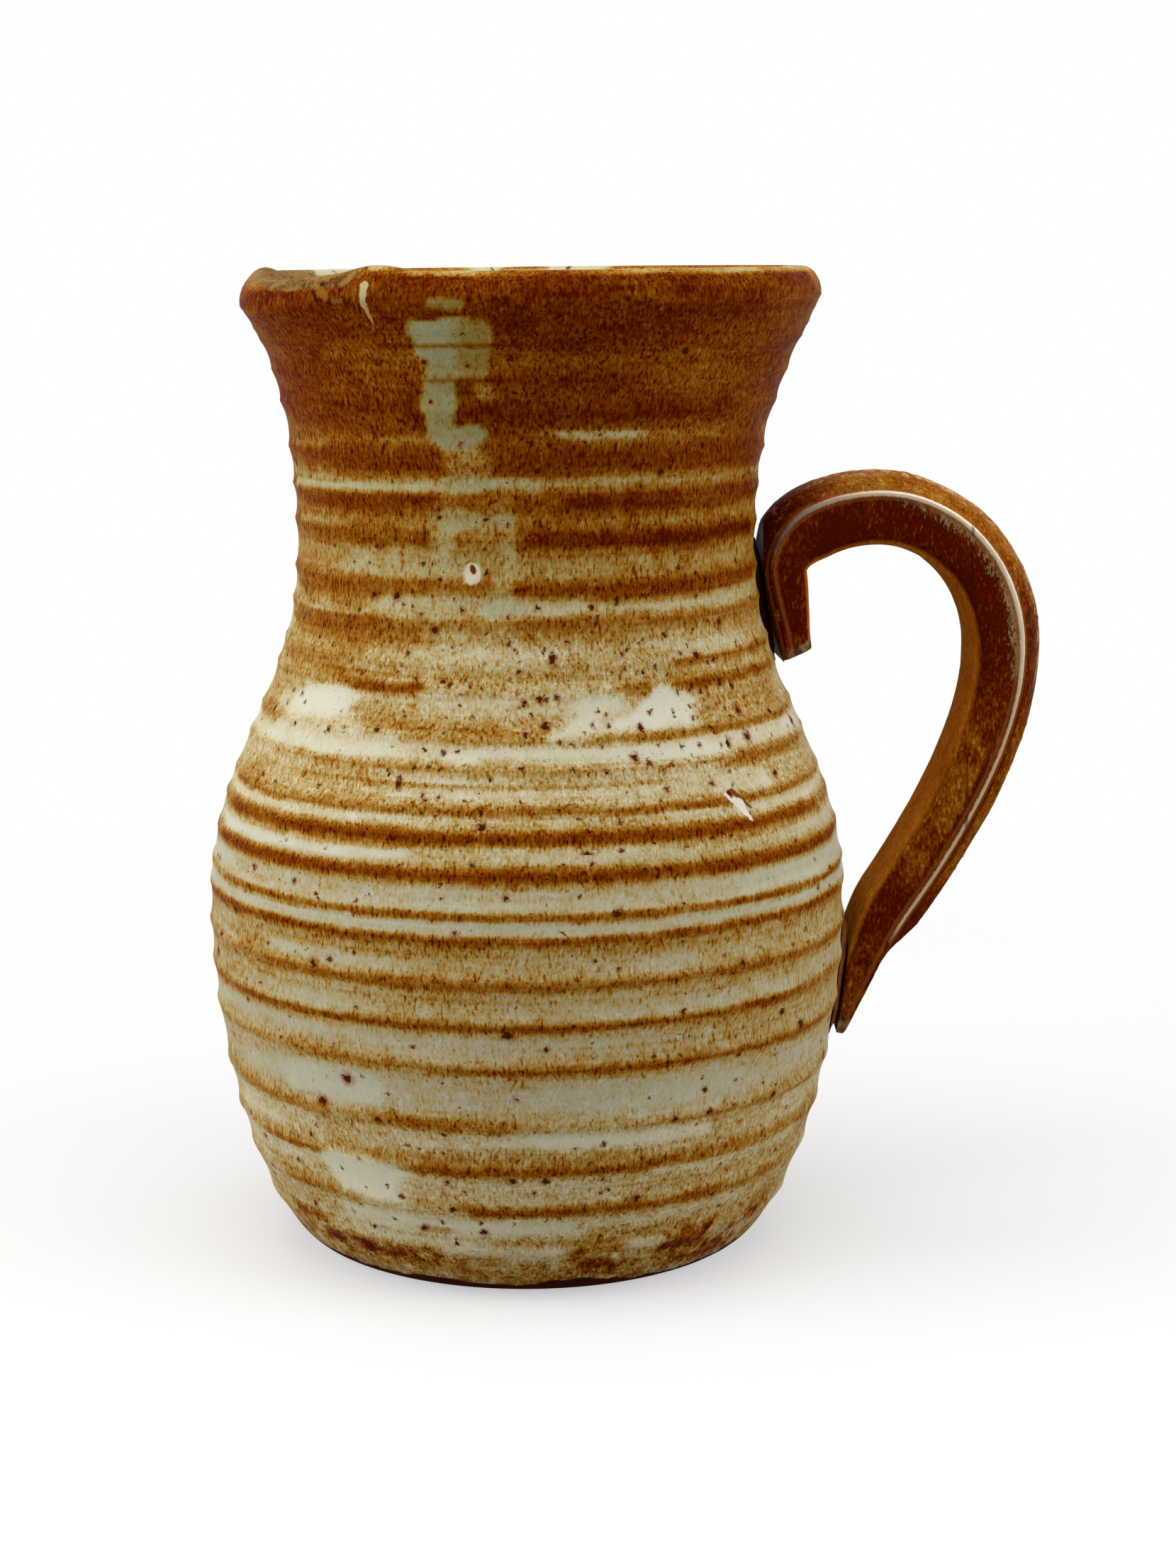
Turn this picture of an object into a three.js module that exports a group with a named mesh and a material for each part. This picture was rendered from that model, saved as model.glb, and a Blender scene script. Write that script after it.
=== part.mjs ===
// Stoneware pitcher: a wheel-thrown body with a pulled pouring lip, and a crook-shaped
// strap handle luted on with soft clay. Millimetres, Z up. The origin is the centre of
// the flat base, and the handle lies in the XZ plane on the +X side.
import * as THREE from 'three';

const { clamp, degToRad, smoothstep, smootherstep } = THREE.MathUtils;

// Thrown body, outside
const pitcherHeight = 216;
const footRadius = 46.8;
const bellyRadius = 71.1;
const bellyHeight = 73;
const waistRadius = 50.6;
const waistHeight = 160;
const rimRadius = 62.9;
const bellyRoundness = 1.7;
const footSquareness = 1.85;
const flarePower = 2.15;

// Thrown body, inside
const wallThickness = 5;
const lipThickness = 8.5;
const lipRollHeight = 6;
const lipThickeningDepth = 18;
const floorThickness = 7;
const floorCornerRun = 12;
const floorCornerRise = 16;

// Throwing rings: one spiral ridge left by the fingers from the foot to the lip
const ringPitch = 8.8;
const ringHeight = 0.45;
const ringFreeFoot = 12;
const ringFreeRim = 10;

// Pouring lip, pulled out and tipped down between two raised folds
const lipDirection = degToRad(204);
const lipHalfWidth = degToRad(31);
const lipReach = 3.4;
const lipDepth = 26;
const lipDroop = 4;
const nearFoldHeight = 1.8;
const farFoldHeight = 0.8;
const foldHalfWidth = degToRad(11);
const foldDepth = 9;

// The mouth stands a little off the axis of the foot, towards the handle, and higher there
const mouthOffset = 1.5;
const mouthRise = 0.6;
const mouthDepth = 40;

// Strap handle: heights above the base, and distances of its centre line out from the wall
const cutEndHeight = 131;
const cutEndSlope = degToRad(15);
const cutEndOut = 3.2;
const archSpringHeight = 150;
const archSpringOut = 4.4;
const crestHeight = 163.75;
const crestOut = 26.8;
const bowHeight = 131.7;
const bowOut = 56.8;
const heelHeight = 74.3;
const heelOut = 12.8;
const heelSlope = degToRad(56);
const toeHeight = 44.5;
const toeOut = 2.4;
const bowEase = 19;
const limbEase = 22;
const heelEase = 7;
const toeEase = 16;

// Strap handle: its section, which changes from the free cut end to the pressed toe
const strapWidth = 20;
const pressedWidth = 21;
const toeWidth = 15;
const cutEndThickness = 10.2;
const archSpringThickness = 13;
const archThickness = 16.4;
const strapThickness = 16.8;
const heelThickness = 15.5;
const pressedThickness = 9.2;
const toeThickness = 4.4;
const archCrownHeight = 4.4;
const limbCrownHeight = 5.8;
const toeCrownHeight = 1.8;
const innerEdgeRadius = 4;

// Luting clay between the handle and the wall, and the clearance on each of its faces
const lutingThickness = 0.7;
const lutingEdgeThickness = 0.4;
const lutingMargin = 1.2;
const lutingRoundness = 0.3;
const seatGap = 0.3;
const upperLutingWidth = 16;
const upperLutingBottom = 129.5;
const upperLutingTop = 157;

// Fineness of the surfaces
const turnSegments = 40;
const rowsPerRing = 4;
const footArcHeight = 9;
const footArcSteps = 6;
const floorArcSteps = 4;
const lipArcSteps = 5;
const crownSteps = 6;
const edgeSteps = 2;
const innerFaceSteps = 4;
const strapSteps = 50;
const lutingRowHeight = 2;
const lutingColumns = 8;

const lipLevel = pitcherHeight - lipRollHeight;
const lutingFace = ringHeight + seatGap + lutingThickness;
const handleFace = lutingFace + seatGap;

// Share of the way from start to end, held between 0 and 1
function share(value, start, end) {
  return clamp((value - start) / (end - start), 0, 1);
}

// Radius of the outside of the thrown wall at a height, without its rings
function wallRadius(height) {
  if (height < bellyHeight) {
    const rise = 1 - (1 - Math.max(height, 0) / bellyHeight) ** bellyRoundness;
    return footRadius + (bellyRadius - footRadius) * rise ** (1 / footSquareness);
  }
  if (height < waistHeight) {
    const fall = smootherstep(height, bellyHeight, waistHeight);
    return bellyRadius - (bellyRadius - waistRadius) * fall;
  }
  return waistRadius + (rimRadius - waistRadius) * share(height, waistHeight, lipLevel) ** flarePower;
}

// Radius of the inside of the wall, with a round corner where it meets the floor
function boreRadius(height) {
  const thickening = smoothstep(height, lipLevel - lipThickeningDepth, lipLevel);
  const wall = wallThickness + (lipThickness - wallThickness) * thickening;
  const up = share(height, floorThickness, floorThickness + floorCornerRise);
  const corner = floorCornerRun * (1 - Math.sqrt(1 - (1 - up) ** 2));
  return wallRadius(height) - wall - corner;
}

// How far the finger ridge stands out at an angle and height; it fades at the foot and the lip
function ringRelief(angle, height) {
  const fade = share(height, 0, ringFreeFoot) * share(lipLevel - height, 0, ringFreeRim);
  return ringHeight * fade * Math.cos((2 * Math.PI * height) / ringPitch + angle);
}

// Smooth bump of height 1 at the centre that ends at one half width on each side
function angularBump(angle, centre, halfWidth) {
  const away = Math.abs(Math.atan2(Math.sin(angle - centre), Math.cos(angle - centre)));
  return away < halfWidth ? 0.5 + 0.5 * Math.cos((Math.PI * away) / halfWidth) : 0;
}

// A point of the thrown wall, moved by the pouring lip and the off-centre mouth
function formedPoint(radius, angle, height) {
  const lip = angularBump(angle, lipDirection, lipHalfWidth);
  const lipRise = share(height, pitcherHeight - lipDepth, pitcherHeight) ** 2;
  const reach = radius + lipReach * lip * lipRise;
  const foldRise = share(height, pitcherHeight - foldDepth, pitcherHeight);
  const nearFold = angularBump(angle, lipDirection + lipHalfWidth, foldHalfWidth);
  const farFold = angularBump(angle, lipDirection - lipHalfWidth, foldHalfWidth);
  const outerEdge = share(radius, rimRadius - lipThickness, rimRadius);
  const mouth = smoothstep(height, lipLevel - mouthDepth, lipLevel);
  const lift = (nearFoldHeight * nearFold + farFoldHeight * farFold) * foldRise
    - lipDroop * outerEdge * lip * lipRise
    + mouthRise * mouth * Math.cos(angle);
  return [mouthOffset * mouth + reach * Math.cos(angle), reach * Math.sin(angle), height + lift];
}

function indexedGeometry(positions, triangles) {
  const geometry = new THREE.BufferGeometry();
  geometry.setAttribute('position', new THREE.Float32BufferAttribute(positions, 3));
  geometry.setIndex(triangles);
  return geometry;
}

// Rows [radius, height, ridged] of the outside, closer together on the round of the foot
function outerRows() {
  const rows = [];
  for (let step = 0; step < footArcSteps; step += 1) {
    const height = footArcHeight * (step / footArcSteps) ** 2;
    rows.push([wallRadius(height), height, true]);
  }
  const count = Math.round(((lipLevel - footArcHeight) / ringPitch) * rowsPerRing);
  for (let row = 0; row <= count; row += 1) {
    const height = footArcHeight + ((lipLevel - footArcHeight) * row) / count;
    rows.push([wallRadius(height), height, true]);
  }
  return rows;
}

// Rows over the round lip, from its widest level outside to the same level inside
function lipRows() {
  const rows = [];
  const round = lipThickness / 2;
  for (let step = 1; step < lipArcSteps; step += 1) {
    const turn = (Math.PI * step) / lipArcSteps;
    const radius = rimRadius - round + round * Math.cos(turn);
    rows.push([radius, lipLevel + lipRollHeight * Math.sin(turn), false]);
  }
  return rows;
}

// Rows of the inside from the lip down to the floor, closer together in the floor corner
function innerRows() {
  const rows = [];
  const cornerTop = floorThickness + floorCornerRise;
  const count = Math.round((lipLevel - cornerTop) / ringPitch);
  for (let row = 0; row < count; row += 1) {
    const height = lipLevel - ((lipLevel - cornerTop) * row) / count;
    rows.push([boreRadius(height), height, false]);
  }
  for (let step = floorArcSteps; step >= 0; step -= 1) {
    const height = floorThickness + floorCornerRise * (step / floorArcSteps) ** 2;
    rows.push([boreRadius(height), height, false]);
  }
  return rows;
}

// The thrown body: its rows are turned round the axis and closed at the base and the floor
function thrownBody() {
  const rows = [...outerRows(), ...lipRows(), ...innerRows()];
  const positions = [0, 0, 0];
  for (const [radius, height, ridged] of rows) {
    for (let turn = 0; turn < turnSegments; turn += 1) {
      const angle = (2 * Math.PI * turn) / turnSegments;
      const relief = ridged ? ringRelief(angle, height) : 0;
      positions.push(...formedPoint(radius + relief, angle, height));
    }
  }
  positions.push(0, 0, floorThickness);
  const floorCentre = positions.length / 3 - 1;
  const lastRow = rows.length - 1;
  const vertex = (row, turn) => 1 + row * turnSegments + (turn % turnSegments);
  const triangles = [];
  for (let turn = 0; turn < turnSegments; turn += 1) {
    triangles.push(0, vertex(0, turn + 1), vertex(0, turn));
    for (let row = 0; row < lastRow; row += 1) {
      triangles.push(vertex(row, turn), vertex(row, turn + 1), vertex(row + 1, turn + 1));
      triangles.push(vertex(row, turn), vertex(row + 1, turn + 1), vertex(row + 1, turn));
    }
    triangles.push(vertex(lastRow, turn), vertex(lastRow, turn + 1), floorCentre);
  }
  return indexedGeometry(positions, triangles);
}

// A quarter of an ellipse that turns clockwise from a start angle
function quarterEllipse(centreX, centreY, radiusX, radiusY, start) {
  return new THREE.EllipseCurve(centreX, centreY, radiusX, radiusY, start, start - Math.PI / 2, true);
}

// Centre line of the strap in the XZ plane: up the free limb beside the neck, over the
// arch, down the bow to the heel, and along the belly to the toe
function strapPath() {
  const cutEnd = new THREE.Vector2(wallRadius(cutEndHeight) + cutEndOut, cutEndHeight);
  const springRadius = wallRadius(archSpringHeight) + archSpringOut;
  const spring = new THREE.Vector2(springRadius, archSpringHeight);
  const crest = new THREE.Vector2(waistRadius + crestOut, crestHeight);
  const bow = new THREE.Vector2(waistRadius + bowOut, bowHeight);
  const heel = new THREE.Vector2(wallRadius(heelHeight) + heelOut, heelHeight);
  const toe = new THREE.Vector2(wallRadius(toeHeight) + toeOut, toeHeight);
  const slope = new THREE.Vector2(Math.cos(heelSlope), Math.sin(heelSlope));
  const path = new THREE.CurvePath();
  path.add(new THREE.LineCurve(cutEnd, spring));
  path.add(quarterEllipse(crest.x, spring.y, crest.x - spring.x, crest.y - spring.y, Math.PI));
  path.add(quarterEllipse(crest.x, bow.y, bow.x - crest.x, crest.y - bow.y, Math.PI / 2));
  path.add(new THREE.CubicBezierCurve(
    bow,
    new THREE.Vector2(bow.x, bow.y - bowEase),
    heel.clone().addScaledVector(slope, limbEase),
    heel,
  ));
  path.add(new THREE.CubicBezierCurve(
    heel,
    heel.clone().addScaledVector(slope, -heelEase),
    new THREE.Vector2(toe.x + toeOut, toe.y + toeEase),
    toe,
  ));
  return path;
}

// Section of the strap as [across, outward]: a crowned outer face between two arrises,
// straight sides, round inner edges and a flat inner face
function strapSection(width, thickness, crown) {
  const scale = thickness / strapThickness;
  const half = width / 2;
  const edge = innerEdgeRadius * scale;
  const points = [];
  for (let step = 0; step <= crownSteps; step += 1) {
    const across = 1 - (2 * step) / crownSteps;
    points.push([half * across, thickness / 2 - crown * across ** 2]);
  }
  for (let step = 0; step <= edgeSteps; step += 1) {
    const turn = (Math.PI / 2) * (step / edgeSteps);
    points.push([edge - half - edge * Math.cos(turn), edge - thickness / 2 - edge * Math.sin(turn)]);
  }
  for (let step = 1; step < innerFaceSteps; step += 1) {
    points.push([(half - edge) * ((2 * step) / innerFaceSteps - 1), -thickness / 2]);
  }
  for (let step = edgeSteps; step >= 0; step -= 1) {
    const turn = (Math.PI / 2) * (step / edgeSteps);
    points.push([half - edge + edge * Math.cos(turn), edge - thickness / 2 - edge * Math.sin(turn)]);
  }
  return points;
}

// Width, thickness and crown of the strap at a share of its length: slim on the free limb,
// full over the arch and the bow, pressed wide and thin past the heel
function strapSize(part, springPart, crestPart, bowPart, heelPart) {
  const pressedPart = (heelPart + 1) / 2;
  const rising = smoothstep(part, 0, springPart);
  const filling = smoothstep(part, springPart, (springPart + crestPart) / 2);
  const bowing = smoothstep(part, crestPart, bowPart);
  const thinning = share(part, bowPart, heelPart);
  const pressing = smoothstep(part, heelPart, pressedPart);
  const closing = share(part, pressedPart, 1) ** 2;
  const thickness = cutEndThickness
    + (archSpringThickness - cutEndThickness) * rising
    + (archThickness - archSpringThickness) * filling
    + (strapThickness - archThickness) * bowing
    + (heelThickness - strapThickness) * thinning
    + (pressedThickness - heelThickness) * pressing
    + (toeThickness - pressedThickness) * closing;
  const width = strapWidth
    + (pressedWidth - strapWidth) * pressing
    + (toeWidth - pressedWidth) * closing;
  const crown = archCrownHeight
    + (limbCrownHeight - archCrownHeight) * bowing
    + (toeCrownHeight - limbCrownHeight) * pressing;
  return { width, thickness, crown };
}

// Presses a point of the soft strap out to the face that rests on the luting clay
function pressedOut(x, y, z) {
  const face = wallRadius(z) + handleFace;
  const radius = Math.hypot(x, y);
  const scale = radius < face ? face / radius : 1;
  return [x * scale, y * scale, z];
}

// The strap handle, swept along its path and pressed against the neck and the belly
function strapHandle() {
  const path = strapPath();
  const lengths = path.getCurveLengths();
  const total = path.getLength();
  const [springPart, crestPart, bowPart, heelPart] = lengths.map((length) => length / total);
  const positions = [];
  const triangles = [];
  let around = 0;
  for (let step = 0; step <= strapSteps; step += 1) {
    const part = step / strapSteps;
    const centre = path.getPointAt(part);
    const forward = path.getTangentAt(part);
    const { width, thickness, crown } = strapSize(part, springPart, crestPart, bowPart, heelPart);
    const section = strapSection(width, thickness, crown);
    const cutBack = Math.tan(cutEndSlope) * (1 - share(part, 0, springPart));
    around = section.length;
    for (const [across, outward] of section) {
      const x = centre.x - forward.y * outward - forward.x * cutBack * outward;
      const z = centre.y + forward.x * outward - forward.y * cutBack * outward;
      positions.push(...pressedOut(x, across, z));
    }
  }
  const vertex = (step, point) => step * around + (point % around);
  for (let point = 0; point < around; point += 1) {
    for (let step = 0; step < strapSteps; step += 1) {
      triangles.push(vertex(step, point), vertex(step, point + 1), vertex(step + 1, point + 1));
      triangles.push(vertex(step, point), vertex(step + 1, point + 1), vertex(step + 1, point));
    }
  }
  closeEnd(positions, triangles, around, 0, false);
  closeEnd(positions, triangles, around, strapSteps, true);
  return indexedGeometry(positions, triangles);
}

// Closes one end of the swept strap with a fan from the middle of its section
function closeEnd(positions, triangles, around, step, forward) {
  const middle = [0, 0, 0];
  for (let point = 0; point < around; point += 1) {
    for (let axis = 0; axis < 3; axis += 1) {
      middle[axis] += positions[(step * around + point) * 3 + axis] / around;
    }
  }
  positions.push(...middle);
  const centre = positions.length / 3 - 1;
  for (let point = 0; point < around; point += 1) {
    const here = step * around + point;
    const next = step * around + ((point + 1) % around);
    triangles.push(centre, ...(forward ? [here, next] : [next, here]));
  }
}

// A film of soft clay on the wall: a rounded patch, thinner at its edge
function lutingClay(width, bottom, top) {
  const rows = Math.ceil((top - bottom) / lutingRowHeight);
  const columns = lutingColumns;
  const middle = (bottom + top) / 2;
  const positions = [];
  for (const outer of [false, true]) {
    for (let row = 0; row <= rows; row += 1) {
      for (let column = 0; column <= columns; column += 1) {
        const up = (2 * row) / rows - 1;
        const across = (2 * column) / columns - 1;
        const height = middle + ((top - bottom) / 2) * up * Math.sqrt(1 - lutingRoundness * across ** 2);
        const arc = (width / 2) * across * Math.sqrt(1 - lutingRoundness * up ** 2);
        const angle = arc / wallRadius(middle);
        const edge = Math.max(Math.abs(up), Math.abs(across)) ** 4;
        const film = lutingThickness + (lutingEdgeThickness - lutingThickness) * edge;
        const stand = outer ? ringHeight + film : ringRelief(angle, height);
        const radius = wallRadius(height) + seatGap + stand;
        positions.push(radius * Math.cos(angle), radius * Math.sin(angle), height);
      }
    }
  }
  const layer = (rows + 1) * (columns + 1);
  const vertex = (row, column) => row * (columns + 1) + column;
  const triangles = [];
  const quad = (a, b, c, d) => triangles.push(a, b, c, a, c, d);
  for (let row = 0; row < rows; row += 1) {
    for (let column = 0; column < columns; column += 1) {
      const corners = [
        vertex(row, column),
        vertex(row, column + 1),
        vertex(row + 1, column + 1),
        vertex(row + 1, column),
      ];
      quad(...corners.map((corner) => corner + layer));
      quad(...corners.reverse());
    }
    quad(vertex(row, 0), vertex(row, 0) + layer, vertex(row + 1, 0) + layer, vertex(row + 1, 0));
    quad(
      vertex(row, columns),
      vertex(row + 1, columns),
      vertex(row + 1, columns) + layer,
      vertex(row, columns) + layer,
    );
  }
  for (let column = 0; column < columns; column += 1) {
    quad(vertex(0, column), vertex(0, column + 1), vertex(0, column + 1) + layer, vertex(0, column) + layer);
    quad(
      vertex(rows, column),
      vertex(rows, column) + layer,
      vertex(rows, column + 1) + layer,
      vertex(rows, column + 1),
    );
  }
  return indexedGeometry(positions, triangles);
}

function namedMesh(name, geometry, colour, roughness) {
  const material = new THREE.MeshStandardMaterial({ color: colour, roughness, metalness: 0 });
  const mesh = new THREE.Mesh(geometry, material);
  mesh.name = name;
  return mesh;
}

const upperLuting = lutingClay(upperLutingWidth, upperLutingBottom, upperLutingTop);
const lowerLuting = lutingClay(pressedWidth + 2 * lutingMargin, toeHeight - lutingMargin, heelHeight);

const pitcher = new THREE.Group();
pitcher.add(namedMesh('thrown_body', thrownBody(), 0xb8925a, 0.5));
pitcher.add(namedMesh('strap_handle', strapHandle(), 0x6e320a, 0.45));
pitcher.add(namedMesh('upper_luting_clay', upperLuting, 0x3a1c0c, 0.7));
pitcher.add(namedMesh('lower_luting_clay', lowerLuting, 0x8a7458, 0.7));

export default pitcher;
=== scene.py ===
"""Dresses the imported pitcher: a finely ridged stoneware body and its strap handle, with
their mottled iron and cream glaze. Lengths are millimetres until a mesh is made."""
import math

import bpy
import numpy as np
from mathutils import Matrix, Vector


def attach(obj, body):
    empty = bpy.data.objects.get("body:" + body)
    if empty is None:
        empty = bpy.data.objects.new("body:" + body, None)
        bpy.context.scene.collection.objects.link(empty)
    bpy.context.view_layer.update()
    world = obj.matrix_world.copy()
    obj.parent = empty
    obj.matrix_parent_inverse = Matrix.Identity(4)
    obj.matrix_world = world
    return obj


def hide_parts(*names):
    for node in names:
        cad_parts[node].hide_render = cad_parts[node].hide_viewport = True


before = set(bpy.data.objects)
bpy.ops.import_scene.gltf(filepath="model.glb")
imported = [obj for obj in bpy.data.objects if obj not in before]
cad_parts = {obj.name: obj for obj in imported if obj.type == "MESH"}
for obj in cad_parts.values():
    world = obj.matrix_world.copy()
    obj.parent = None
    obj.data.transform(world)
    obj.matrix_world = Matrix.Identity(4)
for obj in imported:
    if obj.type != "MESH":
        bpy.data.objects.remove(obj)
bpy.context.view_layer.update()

METRES = 0.001
TURN = 2 * math.pi

# Sizes of the thrown body, as in the part's source, but for the near fold, which is lower here
PITCHER_HEIGHT = 216
FOOT_RADIUS = 46.8
BELLY_RADIUS = 71.1
BELLY_HEIGHT = 73
WAIST_RADIUS = 50.6
WAIST_HEIGHT = 160
RIM_RADIUS = 62.9
BELLY_ROUNDNESS = 1.7
FOOT_SQUARENESS = 1.85
FLARE_POWER = 2.15
WALL_THICKNESS = 5
LIP_THICKNESS = 8.5
LIP_ROLL_HEIGHT = 6
LIP_THICKENING_DEPTH = 18
FLOOR_THICKNESS = 7
FLOOR_CORNER_RUN = 12
FLOOR_CORNER_RISE = 16
RING_HEIGHT = 0.45
LIP_DIRECTION = math.radians(204)
LIP_HALF_WIDTH = math.radians(31)
LIP_REACH = 3.4
LIP_DEPTH = 26
LIP_DROOP = 4
NEAR_FOLD_HEIGHT = 1.3
FAR_FOLD_HEIGHT = 0.8
FOLD_HALF_WIDTH = math.radians(11)
FOLD_DEPTH = 9
MOUTH_OFFSET = 1.5
MOUTH_RISE = 0.6
MOUTH_DEPTH = 40
LIP_LEVEL = PITCHER_HEIGHT - LIP_ROLL_HEIGHT

# Sizes of the strap handle and its luting clay, as in the part's source
CUT_END_HEIGHT = 131
CUT_END_SLOPE = math.radians(15)
CUT_END_OUT = 3.2
ARCH_SPRING_HEIGHT = 150
ARCH_SPRING_OUT = 4.4
CREST_HEIGHT = 163.75
CREST_OUT = 26.8
BOW_HEIGHT = 131.7
BOW_OUT = 56.8
HEEL_HEIGHT = 74.3
HEEL_OUT = 12.8
HEEL_SLOPE = math.radians(56)
TOE_HEIGHT = 44.5
TOE_OUT = 2.4
BOW_EASE = 19
LIMB_EASE = 22
HEEL_EASE = 7
TOE_EASE = 16
STRAP_WIDTH = 20
PRESSED_WIDTH = 21
TOE_WIDTH = 15
CUT_END_THICKNESS = 10.2
ARCH_SPRING_THICKNESS = 13
ARCH_THICKNESS = 16.4
STRAP_THICKNESS = 16.8
HEEL_THICKNESS = 15.5
PRESSED_THICKNESS = 9.2
TOE_THICKNESS = 4.4
ARCH_CROWN_HEIGHT = 4.4
LIMB_CROWN_HEIGHT = 5.8
TOE_CROWN_HEIGHT = 1.8
INNER_EDGE_RADIUS = 4
LUTING_THICKNESS = 0.7
LUTING_MARGIN = 1.2
SEAT_GAP = 0.3
UPPER_LUTING_WIDTH = 16
UPPER_LUTING_BOTTOM = 129.5
UPPER_LUTING_TOP = 157
HANDLE_FACE = RING_HEIGHT + SEAT_GAP + LUTING_THICKNESS + SEAT_GAP

# The side of the pitcher that the photograph shows, from which the glaze marks are measured
FRONT = math.radians(-94)

# Height of each finger ridge where the glaze runs thin, from the foot to the lip
RIDGES = (
    2, 12, 22.2, 31.6, 41.8, 55.2, 64.5, 73.4, 82.1, 87.2, 95.6, 103.1, 108.4, 115.4, 121.6, 130.8, 136,
    144.6, 151.6, 161.5, 169.4, 177.5, 187.5, 194.4, 201.3, 204.2, 207.6, 211,
)
GROOVE_DEPTH = 0.75
GROOVE_SHARE = 0.075
GROOVE_ROUNDNESS = 0.8
RIDGE_STAND = 0.36
# The rings between these heights sink on their way round the front
SAG_BOTTOM = 93
SAG_TOP = 108
PIT_DEPTH = 0.35
DENT_HEIGHT = 0.07
SKIN_HEIGHT = 0.035
BORE_RING_HEIGHT = 0.22
BORE_RING_SPACING = 10.4
BARE_FOOT_HEIGHT = 3.2

FRONT_COLUMNS = 150
BACK_COLUMNS = 126
FRONT_HALF_WIDTH = math.radians(76)
BODY_COLUMNS = FRONT_COLUMNS + BACK_COLUMNS
BODY_ROW_STEP = 0.78
BORE_ROW_STEP = 5.2
LIP_ROWS = 14
FLOOR_ROWS = 7
BASE_ROWS = 6


def share(value, start, end):
    return np.clip((value - start) / (end - start), 0, 1)


def smooth_share(value, start, end):
    part = share(value, start, end)
    return part * part * (3 - 2 * part)


def smoother_share(value, start, end):
    part = share(value, start, end)
    return part**3 * (part * (6 * part - 15) + 10)


def hump(away, half_width):
    """1 in the middle, falling smoothly to 0 at one half width on each side."""
    return 0.5 + 0.5 * np.cos(np.pi * np.clip(np.abs(away) / half_width, 0, 1))


def turned(angle, centre):
    """Angle from the centre, between minus and plus half a turn."""
    return (angle - centre + math.pi) % TURN - math.pi


def plateau(value, start, end, fade):
    """1 between start and end, falling smoothly to 0 within fade outside them."""
    return smooth_share(value, start - fade, start) * (1 - smooth_share(value, end, end + fade))


def wander(seed, across, along, cells_across, cell_along, closed=True):
    """Smooth random field between -1 and 1. Across runs 0 to 1, closed round the pot or not."""
    rng = np.random.default_rng(seed)
    along_cells = (along - np.min(along)) / cell_along
    rows = int(np.max(along_cells)) + 2
    columns = cells_across if closed else cells_across + 2
    lattice = rng.uniform(-1, 1, (rows + 1, columns))
    place = (across % 1 if closed else across) * cells_across
    column = np.floor(place).astype(int)
    row = np.floor(along_cells).astype(int)
    in_column = smooth_share(place - column, 0, 1)
    in_row = smooth_share(along_cells - row, 0, 1)
    following = (column + 1) % columns
    low = lattice[row, column % columns] * (1 - in_column) + lattice[row, following] * in_column
    high = lattice[row + 1, column % columns] * (1 - in_column) + lattice[row + 1, following] * in_column
    return low * (1 - in_row) + high * in_row


def wall_radius(height):
    """Outside of the thrown wall, without its ridges."""
    low_rise = 1 - (1 - share(height, 0, BELLY_HEIGHT)) ** BELLY_ROUNDNESS
    low = FOOT_RADIUS + (BELLY_RADIUS - FOOT_RADIUS) * low_rise ** (1 / FOOT_SQUARENESS)
    fall = smoother_share(height, BELLY_HEIGHT, WAIST_HEIGHT)
    middle = BELLY_RADIUS - (BELLY_RADIUS - WAIST_RADIUS) * fall
    flare = share(height, WAIST_HEIGHT, LIP_LEVEL) ** FLARE_POWER
    high = WAIST_RADIUS + (RIM_RADIUS - WAIST_RADIUS) * flare
    return np.where(height < BELLY_HEIGHT, low, np.where(height < WAIST_HEIGHT, middle, high))


def bore_radius(height):
    thickening = smooth_share(height, LIP_LEVEL - LIP_THICKENING_DEPTH, LIP_LEVEL)
    wall = WALL_THICKNESS + (LIP_THICKNESS - WALL_THICKNESS) * thickening
    up = share(height, FLOOR_THICKNESS, FLOOR_THICKNESS + FLOOR_CORNER_RISE)
    corner = FLOOR_CORNER_RUN * (1 - np.sqrt(1 - (1 - up) ** 2))
    return wall_radius(height) - wall - corner


def formed_point(radius, angle, height):
    """A point of the wall, moved by the pouring lip and the mouth that stands off the axis."""
    lip = hump(turned(angle, LIP_DIRECTION), LIP_HALF_WIDTH)
    lip_rise = share(height, PITCHER_HEIGHT - LIP_DEPTH, PITCHER_HEIGHT) ** 2
    reach = radius + LIP_REACH * lip * lip_rise
    fold_rise = share(height, PITCHER_HEIGHT - FOLD_DEPTH, PITCHER_HEIGHT)
    near_fold = hump(turned(angle, LIP_DIRECTION + LIP_HALF_WIDTH), FOLD_HALF_WIDTH)
    far_fold = hump(turned(angle, LIP_DIRECTION - LIP_HALF_WIDTH), FOLD_HALF_WIDTH)
    outer_edge = share(radius, RIM_RADIUS - LIP_THICKNESS, RIM_RADIUS)
    mouth = smooth_share(height, LIP_LEVEL - MOUTH_DEPTH, LIP_LEVEL)
    lift = (NEAR_FOLD_HEIGHT * near_fold + FAR_FOLD_HEIGHT * far_fold) * fold_rise
    lift = lift - LIP_DROOP * outer_edge * lip * lip_rise + MOUTH_RISE * mouth * np.cos(angle)
    x = MOUTH_OFFSET * mouth + reach * np.cos(angle)
    return np.stack([x, reach * np.sin(angle), height + lift], axis=-1)


def front_sag(angle, height):
    """How far the rings round the belly sink on their way round the front."""
    aside = np.abs(turned(angle, FRONT + math.radians(4)))
    return plateau(height, SAG_BOTTOM, SAG_TOP, 7) * (0.45 + 0.7 * smooth_share(aside, 0, math.radians(46)))


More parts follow.
